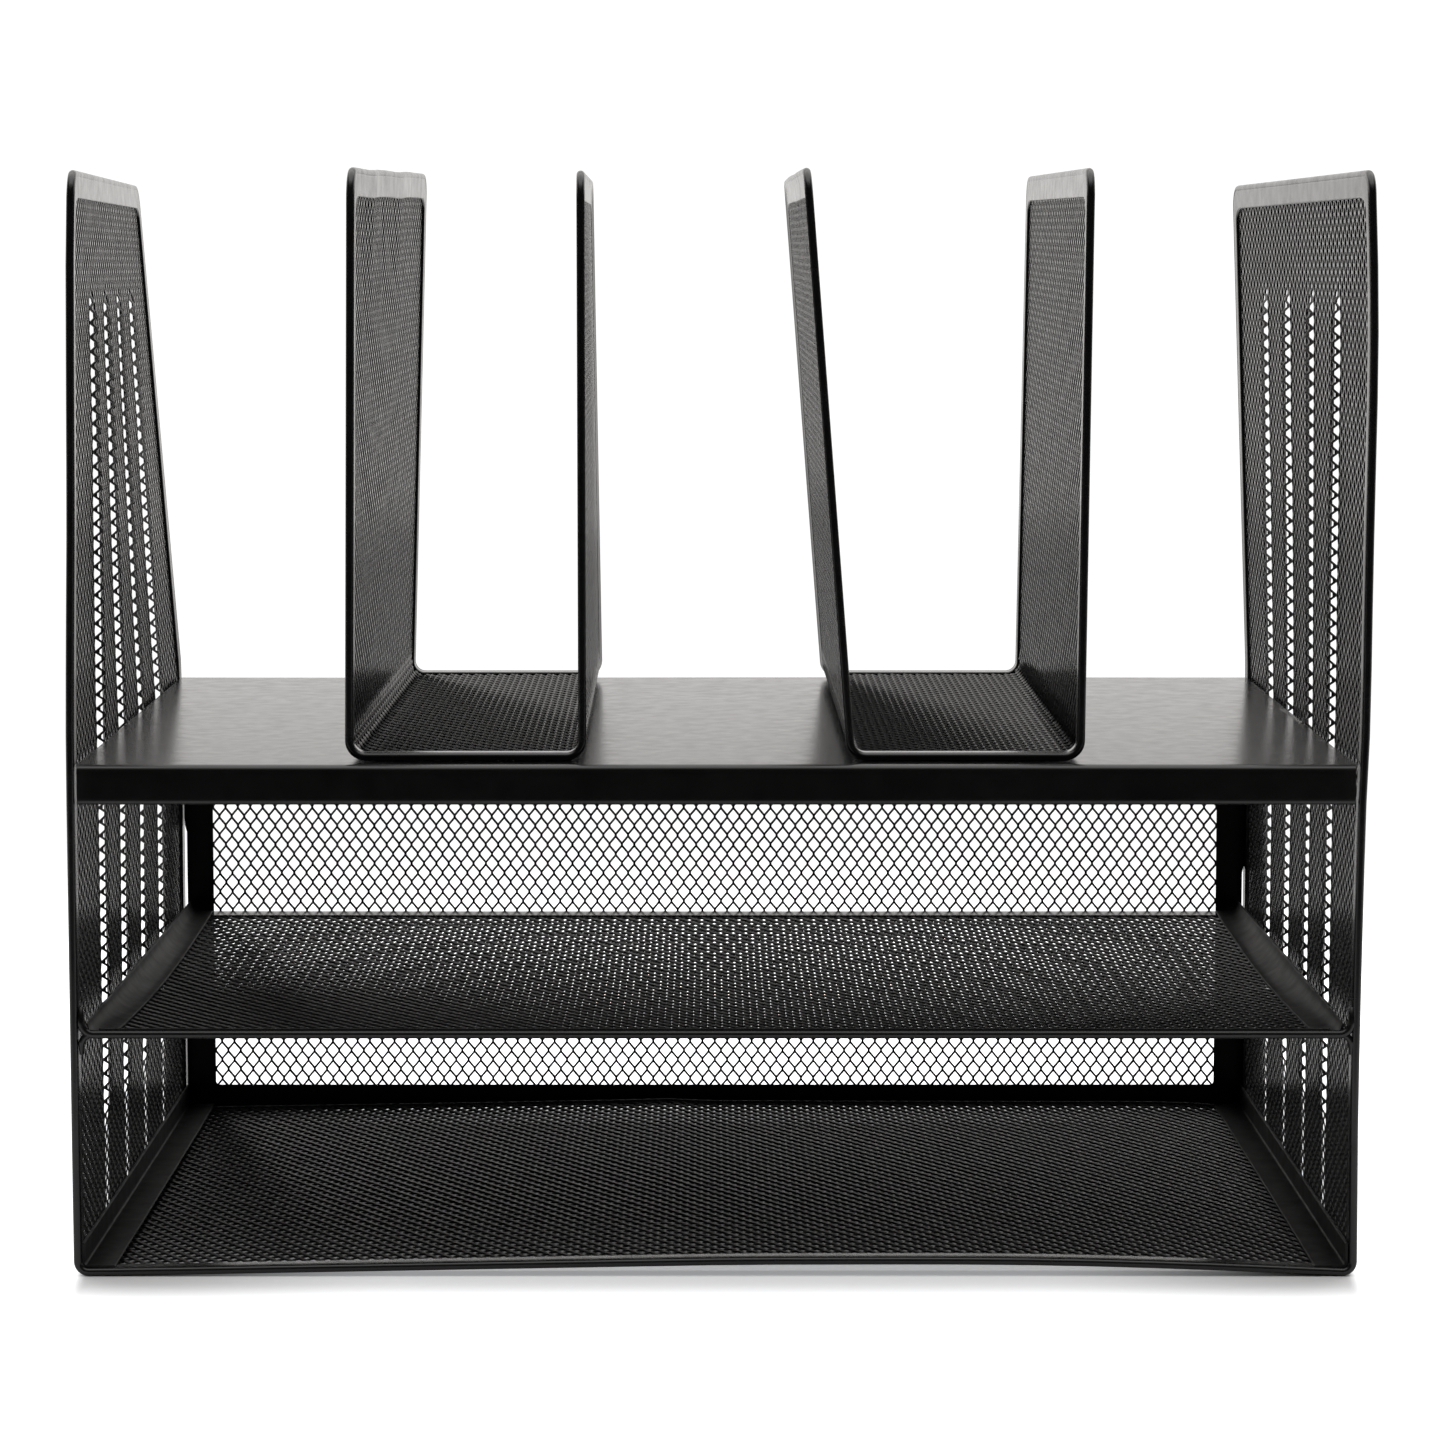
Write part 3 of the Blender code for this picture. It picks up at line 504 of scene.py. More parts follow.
def carried(across, tangent, next_tangent):
    """Turn a direction across a path along with its tangent, without twist."""
    axis = np.cross(tangent, next_tangent)
    sine = np.linalg.norm(axis)
    if sine > 1e-9:
        axis = axis / sine
        angle = math.atan2(sine, float(np.dot(tangent, next_tangent)))
        across = (across * math.cos(angle) + np.cross(axis, across) * math.sin(angle)
                  + axis * np.dot(axis, across) * (1 - math.cos(angle)))
    across = across - next_tangent * np.dot(across, next_tangent)
    return across / np.linalg.norm(across)


def wire(name, path, radius, mat, closed=False, sides=20, taper=None):
    """Round wire along a path; taper scales the radius at each of its points."""
    points = np.asarray(path, float)
    n = len(points)
    radii = radius * (np.ones(n) if taper is None else np.asarray(taper))
    if closed:
        tangents = np.roll(points, -1, 0) - np.roll(points, 1, 0)
    else:
        tangents = np.gradient(points, axis=0)
    tangents = tangents / np.linalg.norm(tangents, axis=1, keepdims=True)
    start = np.array([0.0, 1.0, 0.0] if abs(tangents[0][1]) < 0.9 else [1.0, 0.0, 0.0])
    start = start - tangents[0] * np.dot(start, tangents[0])
    across = [start / np.linalg.norm(start)]
    for i in range(1, n):
        across.append(carried(across[-1], tangents[i - 1], tangents[i]))
    twist = 0.0
    if closed:
        # shared out along the loop so that its ends meet
        back = carried(across[-1], tangents[-1], tangents[0])
        twist = -math.atan2(np.dot(back, np.cross(tangents[0], across[0])),
                            np.dot(back, across[0]))
    verts = []
    for i in range(n):
        third = np.cross(tangents[i], across[i])
        for k in range(sides):
            angle = 2 * math.pi * k / sides + twist * i / n
            verts.append(points[i] + across[i] * (radii[i] * math.cos(angle))
                         + third * (radii[i] * math.sin(angle)))
    faces = ring_faces(n, sides, closed)
    if not closed:
        # low pointed caps
        cap0, cap1 = len(verts), len(verts) + 1
        verts.append(points[0] - tangents[0] * 0.35 * radii[0])
        verts.append(points[-1] + tangents[-1] * 0.35 * radii[-1])
        for k in range(sides):
            m = (k + 1) % sides
            faces.append((cap0, m, k))
            faces.append((cap1, (n - 1) * sides + k, (n - 1) * sides + m))
    return new_object(name, verts, faces, mat)


def hem(name, surface, outer, inner, mat, closed=False, profile=HEM):
    """A border swept between two outlines with matching points."""
    outer, inner = np.asarray(outer, float), np.asarray(inner, float)
    width = np.linalg.norm(outer - inner, axis=1)
    rows = []
    for kind, distance, height in profile:
        if kind == "o":
            share = distance * MM / width
        elif kind == "i":
            share = 1 - distance * MM / width
        else:
            share = distance + 0.0 * width
        at = outer + (inner - outer) * share[:, None]
        u, v = at[:, 0], at[:, 1]
        rows.append(surface(u, v) + normals(surface, u, v) * (height * MM))
    verts = np.stack(rows, 1).reshape(-1, 3)
    return ringed_solid(name, verts, len(outer), len(profile), mat, 50, closed)


def folded_strip(name, path, thickness, stations, mat):
    """A sheet folded along a section path, given an even thickness and rounded raw edges.
    Each station is a function that places a section point (a, b) in space."""
    path = np.asarray(path, float)
    steps = np.diff(path, axis=0)
    steps = steps / np.linalg.norm(steps, axis=1, keepdims=True)
    flat = np.stack([-steps[:, 1], steps[:, 0]], -1)
    normal = np.concatenate([flat[:1], flat[:-1] + flat[1:], flat[-1:]])
    normal = normal / np.linalg.norm(normal, axis=1, keepdims=True)
    miter = np.ones(len(path))
    miter[1:-1] = 1.0 / np.maximum(0.7, (normal[1:-1] * flat[:-1]).sum(1))
    half, rounding = thickness / 2, thickness * 0.22

    def face(sign):
        def raw_edge(end, inward):
            return [path[end] + sign * normal[end] * (half - rounding),
                    path[end] + inward * rounding + sign * normal[end] * half,
                    path[end] + inward * 2.5 * rounding + sign * normal[end] * half]

        middle = path + sign * normal * (half * miter)[:, None]
        return np.concatenate([raw_edge(0, steps[0]), middle[1:-1], raw_edge(-1, -steps[-1])[::-1]])

    loop = np.concatenate([face(1), face(-1)[::-1]])
    verts = np.array([station(a, b) for station in stations for a, b in loop])
    return ringed_solid(name, verts, len(stations), len(loop), mat, 40)


# ---------------------------------------------------------------- outlines
def round_end(s, y_start, y_end, r, ry, straight, steps):
    """From one rounded corner along an end at s to the next. r is signed towards the end,
    ry from y_start to y_end."""
    turn = quarter_turn(steps)[1:-1]
    out = [(s - r + r * math.sin(a), y_start + ry - ry * math.cos(a)) for a in turn]
    out += [(s, y_start + ry + (y_end - y_start - 2 * ry) * share)
            for share in spread(0, 1, straight)]
    out += [(s - r + r * math.cos(a), y_end - ry + ry * math.sin(a)) for a in turn]
    return out


def closed_outline(s0, s1, y0, y1, r, ry, run, straight, steps):
    """run lists the points in s of the front and rear edges."""
    return ([(s, y0) for s in run] + round_end(s1, y0, y1, r, ry, straight, steps)
            + [(s, y1) for s in reversed(run)]
            + round_end(s0, y1, y0, -r, -ry, straight, steps))


def bend_outline(sheet, inset, y0, y1, r, ry):
    """Closed outline on a bent sheet, with points gathered in its two bends and the same
    count for any size."""
    floor_start = sheet.wing + sheet.arc
    half = spread(inset + r, sheet.wing, 16)
    half += [sheet.wing + sheet.arc * k / 8 for k in range(1, 9)]
    half += [floor_start + (sheet.length / 2 - floor_start) * share
             for share in (0.06, 0.12, 0.2, 0.3, 0.4, 0.5, 0.6, 0.7, 0.8, 0.9, 1.0)]
    return closed_outline(inset, sheet.length - inset, y0, y1, r, ry,
                          mirrored(half, sheet.length), straight=16, steps=9)


def wing_outline(s_foot, s_top, y0, y1, r, ry):
    """Open outline up the front of a wing, along its top and down its rear."""
    if s_foot > s_top:
        r = -r
    run = spread(s_foot, s_top - r, 22)
    return ([(s, y0) for s in run] + round_end(s_top, y0, y1, r, ry, straight=22, steps=9)
            + [(s, y1) for s in reversed(run)])


# ---------------------------------------------------------------- materials
class Nodes:
    """Short ways to add nodes to a tree. An input takes a value or another node's output."""

    def __init__(self, tree, clear=False):
        self.tree = tree
        if clear:
            tree.nodes.clear()

    def feed(self, node, inputs):
        for key, value in inputs.items():
            if isinstance(value, bpy.types.NodeSocket):
                self.tree.links.new(value, node.inputs[key])
            else:
                node.inputs[key].default_value = value

    def add(self, kind, inputs=None, **settings):
        node = self.tree.nodes.new("ShaderNode" + kind)
        for key, value in settings.items():
            setattr(node, key, value)
        self.feed(node, inputs or {})
        return node

    def math(self, operation, a, b):
        return self.add("Math", {0: a, 1: b}, operation=operation).outputs["Value"]

    def map(self, value, over, to, interpolation="SMOOTHSTEP"):
        """Map the range `over` onto the range `to`."""
        return self.add("MapRange", {
            "Value": value, "From Min": over[0], "From Max": over[1],
            "To Min": to[0], "To Max": to[1],
        }, interpolation_type=interpolation).outputs["Result"]

    def noise(self, vector, scale, detail, roughness=0.5):
        return self.add("TexNoise", {"Vector": vector, "Scale": scale, "Detail": detail,
                                     "Roughness": roughness}).outputs["Fac"]

    def bump(self, height, distance, under=None):
        """Relief of a height in metres, laid over the relief `under`."""
        inputs = {"Height": height, "Distance": distance}
        if under is not None:
            inputs["Normal"] = under
        return self.add("Bump", inputs).outputs["Normal"]


def enamel(name, base, rough, rough_vary, peel, peel_scale=1500.0, dust=0.25, shine=0.5,
           grain=0.0, grain_scale=0.0, wavy=0.0, edge=0.0, crown=0.0):
    """Black gloss enamel. dust: how far the two tones differ; peel: orange peel; grain: lines running
    across y; wavy: slow waves; edge: painted highlight, a lighter grey mixed into convex edges in
    flecks; crown: how fast the sheet falls away from its rear part. Relief heights are in metres."""
    mat = bpy.data.materials.new(name)
    mat.use_nodes = True
    nodes = Nodes(mat.node_tree)
    shader = mat.node_tree.nodes["Principled BSDF"]
    spot = nodes.add("TexCoord").outputs["Object"]

    # colour: two tones of black drifting into each other
    ramp = nodes.add("ValToRGB", {"Fac": nodes.noise(spot, scale=38.0, detail=5.0)})
    tones = ((0.30, 1 - dust), (0.72, 1 + dust))
    for element, (position, tone) in zip(ramp.color_ramp.elements, tones):
        element.position = position
        element.color = (*[c * tone for c in base], 1)
    colour = ramp.outputs["Color"]
    # painted highlight: convex edges are mixed towards a lighter grey, broken into flecks by noise
    if edge > 0:
        pointed = nodes.add("NewGeometry").outputs["Pointiness"]
        painted_edge_highlight = nodes.map(pointed, over=(0.52, 0.62), to=(0.0, edge), interpolation="LINEAR")
        highlight_flecks = nodes.noise(spot, scale=420.0, detail=3.0)
        colour = nodes.add("MixRGB", {
            "Fac": nodes.math("MULTIPLY", painted_edge_highlight, highlight_flecks),
            "Color1": colour, "Color2": (0.10, 0.10, 0.098, 1),
        }).outputs["Color"]

    gloss = nodes.map(nodes.noise(spot, scale=160.0, detail=4.0), over=(0.3, 0.7),
                      to=(rough - rough_vary, rough + rough_vary), interpolation="LINEAR")

    relief = nodes.bump(nodes.noise(spot, scale=peel_scale, detail=2.0), peel)
    if grain > 0:
        stretched = nodes.add("Mapping", {"Vector": spot, "Scale": (0.06, 1.0, 0.06)})
        lines = nodes.noise(stretched.outputs["Vector"], scale=grain_scale, detail=5.0,
                            roughness=0.6)
        relief = nodes.bump(lines, grain, under=relief)
    if wavy > 0:
        relief = nodes.bump(nodes.noise(spot, scale=22.0, detail=2.0), wavy, under=relief)
    if crown > 0:
        crown_y = 0.14
        y = nodes.add("SeparateXYZ", {"Vector": spot}).outputs["Y"]
        off = nodes.math("SUBTRACT", y, crown_y)
        fall = nodes.math("MULTIPLY", nodes.math("MULTIPLY", off, off), -crown)
        relief = nodes.bump(fall, 1.0, under=relief)
    nodes.feed(shader, {
        "Base Color": colour, "Metallic": 0.0, "Roughness": gloss, "IOR": 1.5,
        "Specular IOR Level": shine, "Normal": relief,
    })
    return mat


MAT_MESH = enamel("black_enamel_mesh", base=(0.0075, 0.0075, 0.0074), rough=0.24,
                  rough_vary=0.05, peel=1.5e-6, dust=0.35, shine=0.29)
MAT_TRAY = enamel("black_enamel_tray_mesh", base=(0.0060, 0.0060, 0.0059), rough=0.36,
                  rough_vary=0.05, peel=1.5e-6, dust=0.35, shine=0.42)
MAT_WIRE = enamel("black_enamel_wire", base=(0.0060, 0.0060, 0.0060), rough=0.24,
                  rough_vary=0.05, peel=1.2e-6, peel_scale=900.0)
MAT_HEM = enamel("black_enamel_hem", base=(0.0060, 0.0060, 0.0059), rough=0.22,
                 rough_vary=0.04, peel=1.0e-6, grain=7.0e-6, grain_scale=90.0, edge=0.25)
MAT_SHEET = enamel("black_enamel_sheet", base=(0.0050, 0.0050, 0.0049), rough=0.22,
                   rough_vary=0.03, peel=1.2e-6, wavy=6e-5, edge=0.2, crown=0.075)
MAT_STRIP = enamel("black_enamel_strip", base=(0.0045, 0.0045, 0.0044), rough=0.50,
                   rough_vary=0.05, peel=1.2e-6, wavy=8e-5, edge=0.35, shine=0.18)


# ---------------------------------------------------------------- shell
def shell_sheet(ribs):
    return BentSheet(lambda y, z: end_x(-1, y, z), lambda y, z: end_x(1, y, z),
                     lambda y: FLOOR, SHELL_CORNER, seed=11, uneven=SHELL_UNEVEN,
                     ribs=ribs, bow=floor_bow)


shell = shell_sheet(ribs=False)
ribbed_shell = shell_sheet(ribs=True)


def build_shell_rim():
    loop = np.array(bend_outline(shell, 0.0, FRONT, REAR, WING_CORNER, WING_CORNER))
    ob = wire("rim_wire_shell", shell.point(loop[:, 0], loop[:, 1]), WIRE_R, MAT_WIRE,
              closed=True)
    place(ob, "frame", "black_wire", "shell_rim_wire")


def build_end_hems():
    foot = shell.wing - HEM_FOOT
    ends = (("left", 0.0, foot, 1), ("right", shell.length, shell.length - foot, -1))
    for label, top, foot, down in ends:
        outer = wing_outline(foot, top + down * EDGE, FRONT + EDGE, REAR - EDGE,
                             WING_CORNER - EDGE, WING_CORNER - EDGE)
        inner = wing_outline(foot, top + down * BORDER_TOP, FRONT + BORDER_SIDE,
                             REAR - BORDER_SIDE, OPENING_R, OPENING_RY)
        ob = hem("hem_" + label + "_end", shell.point, outer, inner, MAT_HEM)
        place(ob, "frame", "black_border", label + "_end_border")


def end_half_thick(foot_thinning):
    """The pressing of the ribs stretches the strands thin; the foot may be thinner too."""
    def at(s, y):
        off_rib = np.min([np.abs(y - crest) for crest in RIBS], axis=0)
        down = np.minimum(s, shell.length - s)
        body = END_H - foot_thinning * soft((down - shell.wing + 160 * MM) / (60 * MM))
        near = 1 - soft((off_rib - 3.4 * MM) / (2.2 * MM))
        near = near * soft((down - (TOP - RIB_HIGH)) / (8 * MM))
        return body + (END_RIB_H - body) * near
    return at


def build_end_meshes():
    # this phase puts a diamond astride the crest of every rib
    phase = ((RIB_FIRST / (LONG_END / 2)) % 1.0) / 2
    length = shell.length
    ends = (("left", BORDER_TOP, shell.wing, 21, 0.04 * MM),
            ("right", length - shell.wing, length - BORDER_TOP, 22, 0.0))
    for label, s0, s1, seed, foot_thinning in ends:
        ob = expanded("expanded_" + label + "_end", ribbed_shell.point, s0, s1,
                      FRONT + BORDER_SIDE, REAR - BORDER_SIDE, MAT_MESH, seed,
                      end_half_thick(foot_thinning), long=LONG_END, phase=phase,
                      jitter=FINE_JITTER, blunt=BLUNT)
        place(ob, "frame", "black_mesh", label + "_end_mesh")


def build_bottom_tray():
    """The shell's floor, with its two bends."""
    start = shell.wing + 0.4 * MM
    ob = expanded("expanded_bottom_tray", shell.point, start, shell.length - start,
                  FRONT + BORDER_SIDE, REAR - BORDER_SIDE, MAT_TRAY, seed=23,
                  half_thick=FLOOR_H, tilt=FLOOR_TILT)
    place(ob, "frame", "black_mesh", "bottom_tray_mesh")

    half = [shell.wing + shell.arc * k / 6 for k in range(-1, 7)]
    half += spread(shell.wing + shell.arc, shell.length / 2, 24)[1:]
    run = mirrored(half, shell.length)
    edges = (("front", FRONT + EDGE, FRONT + BORDER_SIDE),
             ("rear", REAR - EDGE, REAR - BORDER_SIDE))
    for label, outer_y, inner_y in edges:
        ob = hem("hem_bottom_" + label, shell.point, [(s, outer_y) for s in run],
                 [(s, inner_y) for s in run], MAT_HEM)
        place(ob, "frame", "black_border", "bottom_" + label + "_hem")


def build_bottom_angles():
    """Corner angles: an upright leg against the wing and a leg on the floor.
    The section is (distance in from the wing, z)."""
    upright = 1.3 * MM + ANGLE_T / 2
    low = angle_lo.z + ANGLE_T / 2
    section = [(upright, angle_hi.z), (upright, low + 5.0 * MM),
               (upright, low + ANGLE_BEND + 0.6 * MM)]
    section += arc(upright + ANGLE_BEND, low + ANGLE_BEND, ANGLE_BEND, 180, 270, 5)
    section += [(upright + ANGLE_BEND + 0.6 * MM, low), (upright + 6 * MM, low),
                (ANGLE_WIDE, low)]

    def station(side, y):
        x = end_x(side, y, 0.05)
        return lambda a, b: (x - side * a + X0, y, b)

    for label, side in (("left", -1), ("right", 1)):
        stations = [station(side, y) for y in spread(FRONT + 0.6 * MM, REAR - 3.0 * MM, 12)]
        ob = folded_strip("angle_bottom_" + label, section, ANGLE_T, stations, MAT_STRIP)
        place(ob, "frame", "black_sheet", "bottom_" + label + "_angle")


# ---------------------------------------------------------------- middle tray
def tray_sag(share, y):
    """The mesh floor hangs towards its middle; share runs 0..1 from left to right."""
    depth = 3.6 + 0.5 * np.sin(math.pi * np.clip(share, 0, 1))
    return -depth * MM * np.sin(math.pi * np.clip(along(y), 0, 1))


def tray_point(u, y):
    """u runs across the tray, -TRAY_HALF..TRAY_HALF between the side strips."""
    u, y = np.broadcast_arrays(np.asarray(u, float), np.asarray(y, float))
    left = end_x(-1, y, 0.05) + ANGLE_WIDE
    right = end_x(1, y, 0.05) - ANGLE_WIDE
    x = 0.5 * (left + right) + u * (right - left) / (2 * TRAY_HALF)
    z = TRAY_Z + tray_sag((x - left) / (right - left), y)
    return np.stack([x + X0, y, z], -1)


def build_tray_floor():
    ob = expanded("expanded_middle_tray", tray_point, -TRAY_HALF + 0.5 * MM,
                  TRAY_HALF - 0.5 * MM, FRONT + 6.4 * MM, TRAY_REAR - TRAY_REAR_HEM, MAT_TRAY,
                  seed=24, half_thick=TRAY_H, tilt=TRAY_TILT, jitter=TRAY_JITTER,
                  under_u=1.2 * MM)
    place(ob, "frame", "black_mesh", "middle_tray_mesh")


def build_tray_hems():
    """Sections are (y, height over the tray floor)."""
    def station(u):
        def at(a, b):
            x, y, z = tray_point(u, a)
            return (float(x), float(y), float(z) + b)
        return at

    stations = [station(u) for u in spread(-TRAY_HALF - 4 * MM, TRAY_HALF + 4 * MM, 24)]
    wire_top = TRAY_WIRE_Z + TRAY_WIRE_R - TRAY_Z
    # starts over the front wire and drops to the mesh
    section = [(FRONT - 0.2 * MM, wire_top + 0.30 * MM), (FRONT + 0.8 * MM, wire_top + 0.18 * MM),
               (FRONT + 1.7 * MM, wire_top - 0.55 * MM), (FRONT + 2.4 * MM, wire_top - 1.35 * MM),
               (FRONT + 3.2 * MM, 0.35 * MM), (FRONT + 4.2 * MM, 0.25 * MM),
               (FRONT + 6.3 * MM, 0.2 * MM)]
    ob = folded_strip("hem_middle_front", section, 0.8 * MM, stations, MAT_HEM)
    place(ob, "frame", "black_border", "middle_front_hem")
    section = [(TRAY_REAR - TRAY_REAR_HEM, 0.1 * MM), (TRAY_REAR - 5 * MM, 0.12 * MM),
               (TRAY_REAR, 0.15 * MM)]
    ob = folded_strip("hem_middle_rear", section, 1.3 * MM, stations, MAT_HEM)
    place(ob, "frame", "black_border", "middle_rear_hem")


def build_tray_strips():
    """Side strips: the inner edge sags with the tray, the outer one curls up.
    The section is (distance in from the wing, z)."""
    section = [(ANGLE_WIDE + 0.3 * MM, TRAY_Z + 0.5 * MM), (ANGLE_WIDE - 1.2 * MM, TRAY_Z + 0.5 * MM)]
    section += [(a * MM, TRAY_Z + b * MM) for a, b in (
        (9.6, 0.5), (7.6, 0.6), (6.3, 0.9), (5.3, 1.5), (4.6, 2.3), (4.1, 3.3), (3.8, 4.6))]

    def station(side, y):
        x = end_x(side, y, 0.05)
        sag = float(tray_sag(0.0, y))

        def at(a, b):
            return (x - side * a + X0, y, b + sag * float(soft((a - 3.5 * MM) / (8.0 * MM))))
        return at

    for label, side in (("left", -1), ("right", 1)):
        stations = [station(side, y) for y in spread(FRONT + 1.2 * MM, TRAY_REAR, 40)]
        ob = folded_strip("strip_middle_" + label, section, 0.9 * MM, stations, MAT_STRIP)
        place(ob, "frame", "black_sheet", "middle_" + label + "_strip")


def build_tray_wire():
    """Front wire, flared up and down into the side rims."""
    reach = SHELL_HALF - WIRE_R - TRAY_WIRE_R + 0.9 * MM
    up_r, down_r = 4.0 * MM, 3.6 * MM

    def rim_bend(side, up, r, straight):
        """From along the side rim round to level; up is 1 or -1."""
        return [(side * reach, FRONT, TRAY_WIRE_Z + up * (r + straight))] + [
            (side * (reach - r * (1 - math.cos(a))), FRONT,
             TRAY_WIRE_Z + up * r * (1 - math.sin(a))) for a in quarter_turn(9)]

    def centred(points):
        return [(x + X0, y, z) for x, y, z in points]

    left = rim_bend(-1, 1, up_r, 5.0 * MM)
    level = reach - up_r - 8 * MM
    points = left + [(x, FRONT, TRAY_WIRE_Z) for x in spread(-level, level, 8)]
    points += [(-x, y, z) for x, y, z in reversed(left)]
    taper = np.ones(len(points))
    taper[0] = taper[-1] = 0.55
    ob = wire("wire_middle_front", centred(points), TRAY_WIRE_R, MAT_WIRE, taper=taper)
    place(ob, "frame", "black_wire", "middle_front_wire")

    for label, side in (("left", -1), ("right", 1)):
        points = rim_bend(side, -1, down_r, 3.0 * MM)
        points += [(side * (reach - down_r - 3.5 * MM), FRONT, TRAY_WIRE_Z + 0.25 * MM)]
        taper = np.interp(np.linspace(0, 1, len(points)), [0, 0.15, 0.75, 1.0],
                          [0.5, 0.8, 0.85, 0.6])
        ob = wire("wire_middle_foot_" + label, centred(points), TRAY_WIRE_R, MAT_WIRE,
                  taper=taper)
        place(ob, "frame", "black_wire")


# ---------------------------------------------------------------- shelf
SHELF_LOW = shelf_lo.z + SHELF_T / 2       # centre of the sheet, at its lowest


def shelf_section():
    """(y, z): lower front lip, front face, top, and rear face."""
    half = SHELF_T / 2
    front, rear = shelf_lo.y + half, shelf_hi.y - half
    lip_r, front_r, rear_r = 1.0 * MM, 1.7 * MM, 1.7 * MM
    front_top = float(shelf_z(front)) - half
    rear_top = float(shelf_z(rear)) - half
    section = [(front + 4.2 * MM, SHELF_LOW), (front + lip_r + 0.8 * MM, SHELF_LOW)]
    section += arc(front + lip_r, SHELF_LOW + lip_r, lip_r, 270, 180, 5)
    section += [(front, SHELF_LOW + lip_r + 0.8 * MM), (front, SHELF_LOW + 6 * MM),
                (front, front_top - front_r - 0.8 * MM)]
    section += arc(front + front_r, front_top - front_r, front_r, 180, 93, 7)
    # even steps, with more points at the rib notches
    even = spread(front + front_r + 1.2 * MM, rear - 3.4 * MM, 28)
    at_ribs = [crest + d for crest in RIBS for d in np.linspace(-4.4, 4.4, 11) * MM]
    section += [(y, float(shelf_z(y)) - half)
                for y in sorted(set(round(y, 7) for y in even + at_ribs))]
    section += arc(rear - rear_r, rear_top - rear_r, rear_r, 87, 0, 6)
    section += [(rear, rear_top - 3.2 * MM), (rear, rear_top - 9.8 * MM)]
    return section


def shelf_station(across):
    """across runs from -1 at the left end to 1 at the right."""
    side = 1 if across >= 0 else -1
    share = abs(across)
    notch_half, notch_deep = 4.3 * MM, 2.4 * MM

    def at(a, b):
        half = SHELF_HALF - (REAR_TAPER * float(along(a)) if side > 0 else 0.0)
        # the ends are cut back round the ribs
        notch = 0.0
        for crest in RIBS:
            off = abs(a - crest)
            if off < notch_half and b > SHELF_LOW + 8 * MM:
                notch = notch_deep * 0.5 * (1 + math.cos(math.pi * off / notch_half))
        x = half - notch if share == 1 else half * share
        # a sheet this wide is never dead flat
        lift = 0.0
        if b > SHELF_LOW + 9 * MM:
            lift = 0.22 * MM * math.sin(3.2 * across + 0.6) * math.cos(9.0 * a)
        return (side * x + X0, a, b + lift * (1.0 - share ** 6))
    return at


def build_shelf():
    shares = [1, 0.975, 0.9, 0.8, 0.65, 0.5, 0.35, 0.2]
    stations = [shelf_station(f) for f in [-f for f in shares] + [0.0] + shares[::-1]]
    ob = folded_strip("shelf_sheet", shelf_section(), SHELF_T, stations, MAT_SHEET)
    place(ob, "frame", "black_sheet", "shelf_panel")


# ---------------------------------------------------------------- rear panel
def rear_point(x, z):
    x, z = np.broadcast_arrays(np.asarray(x, float), np.asarray(z, float))
    bow = 0.25 * MM * np.sin(math.pi * (x - rear_lo.x) / (rear_hi.x - rear_lo.x))
    return np.stack([x, PANEL_Y - bow * np.sin(math.pi * z / rear_hi.z), z], -1)


def reaching_wings(x, z):
    """The side bands widen to the end wings, less so along a slit above the middle tray."""
    def widening(low, high):
        slit = soft((z - low) / (3 * MM)) * soft((high - z) / (3 * MM))
        return (1.9 - 0.9 * slit) * MM

    if abs(x - rear_lo.x) < 2 * MM:
        x = x - widening(77 * MM, 114 * MM)
    elif abs(x - rear_hi.x) < 2 * MM:
        x = x + widening(78 * MM, 98 * MM)
    return x, z


def build_rear_panel():
    def outline(x0, x1, z0, z1, r):
        return closed_outline(x0, x1, z0, z1, r, r, spread(x0 + r, x1 - r, 30),
                              straight=60, steps=5)

    opening = (rear_lo.x + BAND, rear_hi.x - BAND, rear_lo.z + LOW_BAR, rear_hi.z - BAND)
    outer = outline(rear_lo.x, rear_hi.x, rear_lo.z - 0.9 * MM, rear_hi.z, 1.0 * MM)
    outer = [reaching_wings(x, z) for x, z in outer]
    inner = outline(*opening, 1.4 * MM)
    ob = hem("rear_frame_sheet", rear_point, outer, inner, MAT_STRIP, closed=True, profile=FLAT)
    place(ob, "frame", "black_sheet", "rear_frame")
    ob = expanded("expanded_rear", rear_point, *opening, MAT_MESH, seed=25, half_thick=REAR_H,
                  strand=REAR_STRAND, under_u=1.6 * MM, under_v=1.0 * MM)
    place(ob, "frame", "black_mesh", "rear_mesh")


# ---------------------------------------------------------------- dividers
def div_along(y):
    return (y - DIV_FRONT) / (DIV_REAR - DIV_FRONT)


def arch(share):
    """0 at both ends of a 0..1 range, 1 in its middle."""
    return np.sin(math.pi * np.clip(share, 0, 1))


def wing_line(corners):
    front_foot, front_top, rear_foot, rear_top = (x * MM for x in corners)

    def at(y, z):
        t = div_along(y)
        up = (z - Z_FRONT) / (TOP - Z_FRONT)
        return ((1 - t) * (front_foot + (front_top - front_foot) * up)
                + t * (rear_foot + (rear_top - rear_foot) * up))
    return at


def bumps(y, places):
    """places: y, width and height of each bump, in mm."""
    return sum(height * MM * np.exp(-((y - centre * MM) / (width * MM)) ** 2)
               for centre, width, height in places)


def wing_rise(z):
    """0 at the shelf, 1 at the top of a wing."""
    return np.clip((z - Z_FRONT) / (TOP - Z_FRONT), 0, 1)


def near_top(z):
    return soft((z - 0.300) / 0.055)


def shape_1(side, y, z):
    """Soft creases in the left wing's top; the right wing bows outwards."""
    t, top, up = div_along(y), near_top(z), wing_rise(z)
    sideways = ((-66, 16, 0.9), (-30, 14, -0.5), (30, 16, 0.8), (85, 20, -0.3))
    upwards = ((-75, 22, -0.45), (22, 20, -0.35), (75, 30, 0.2))
    dx = np.where(side < 0, top * bumps(y, sideways), 0.9 * MM * arch(t) * arch(up))
    dz = np.where(side < 0, top * bumps(y, upwards), 0.0)
    return dx, dz + up * np.where(side < 0, 1.0 + 3.4 * t, 2.0 * t) * MM


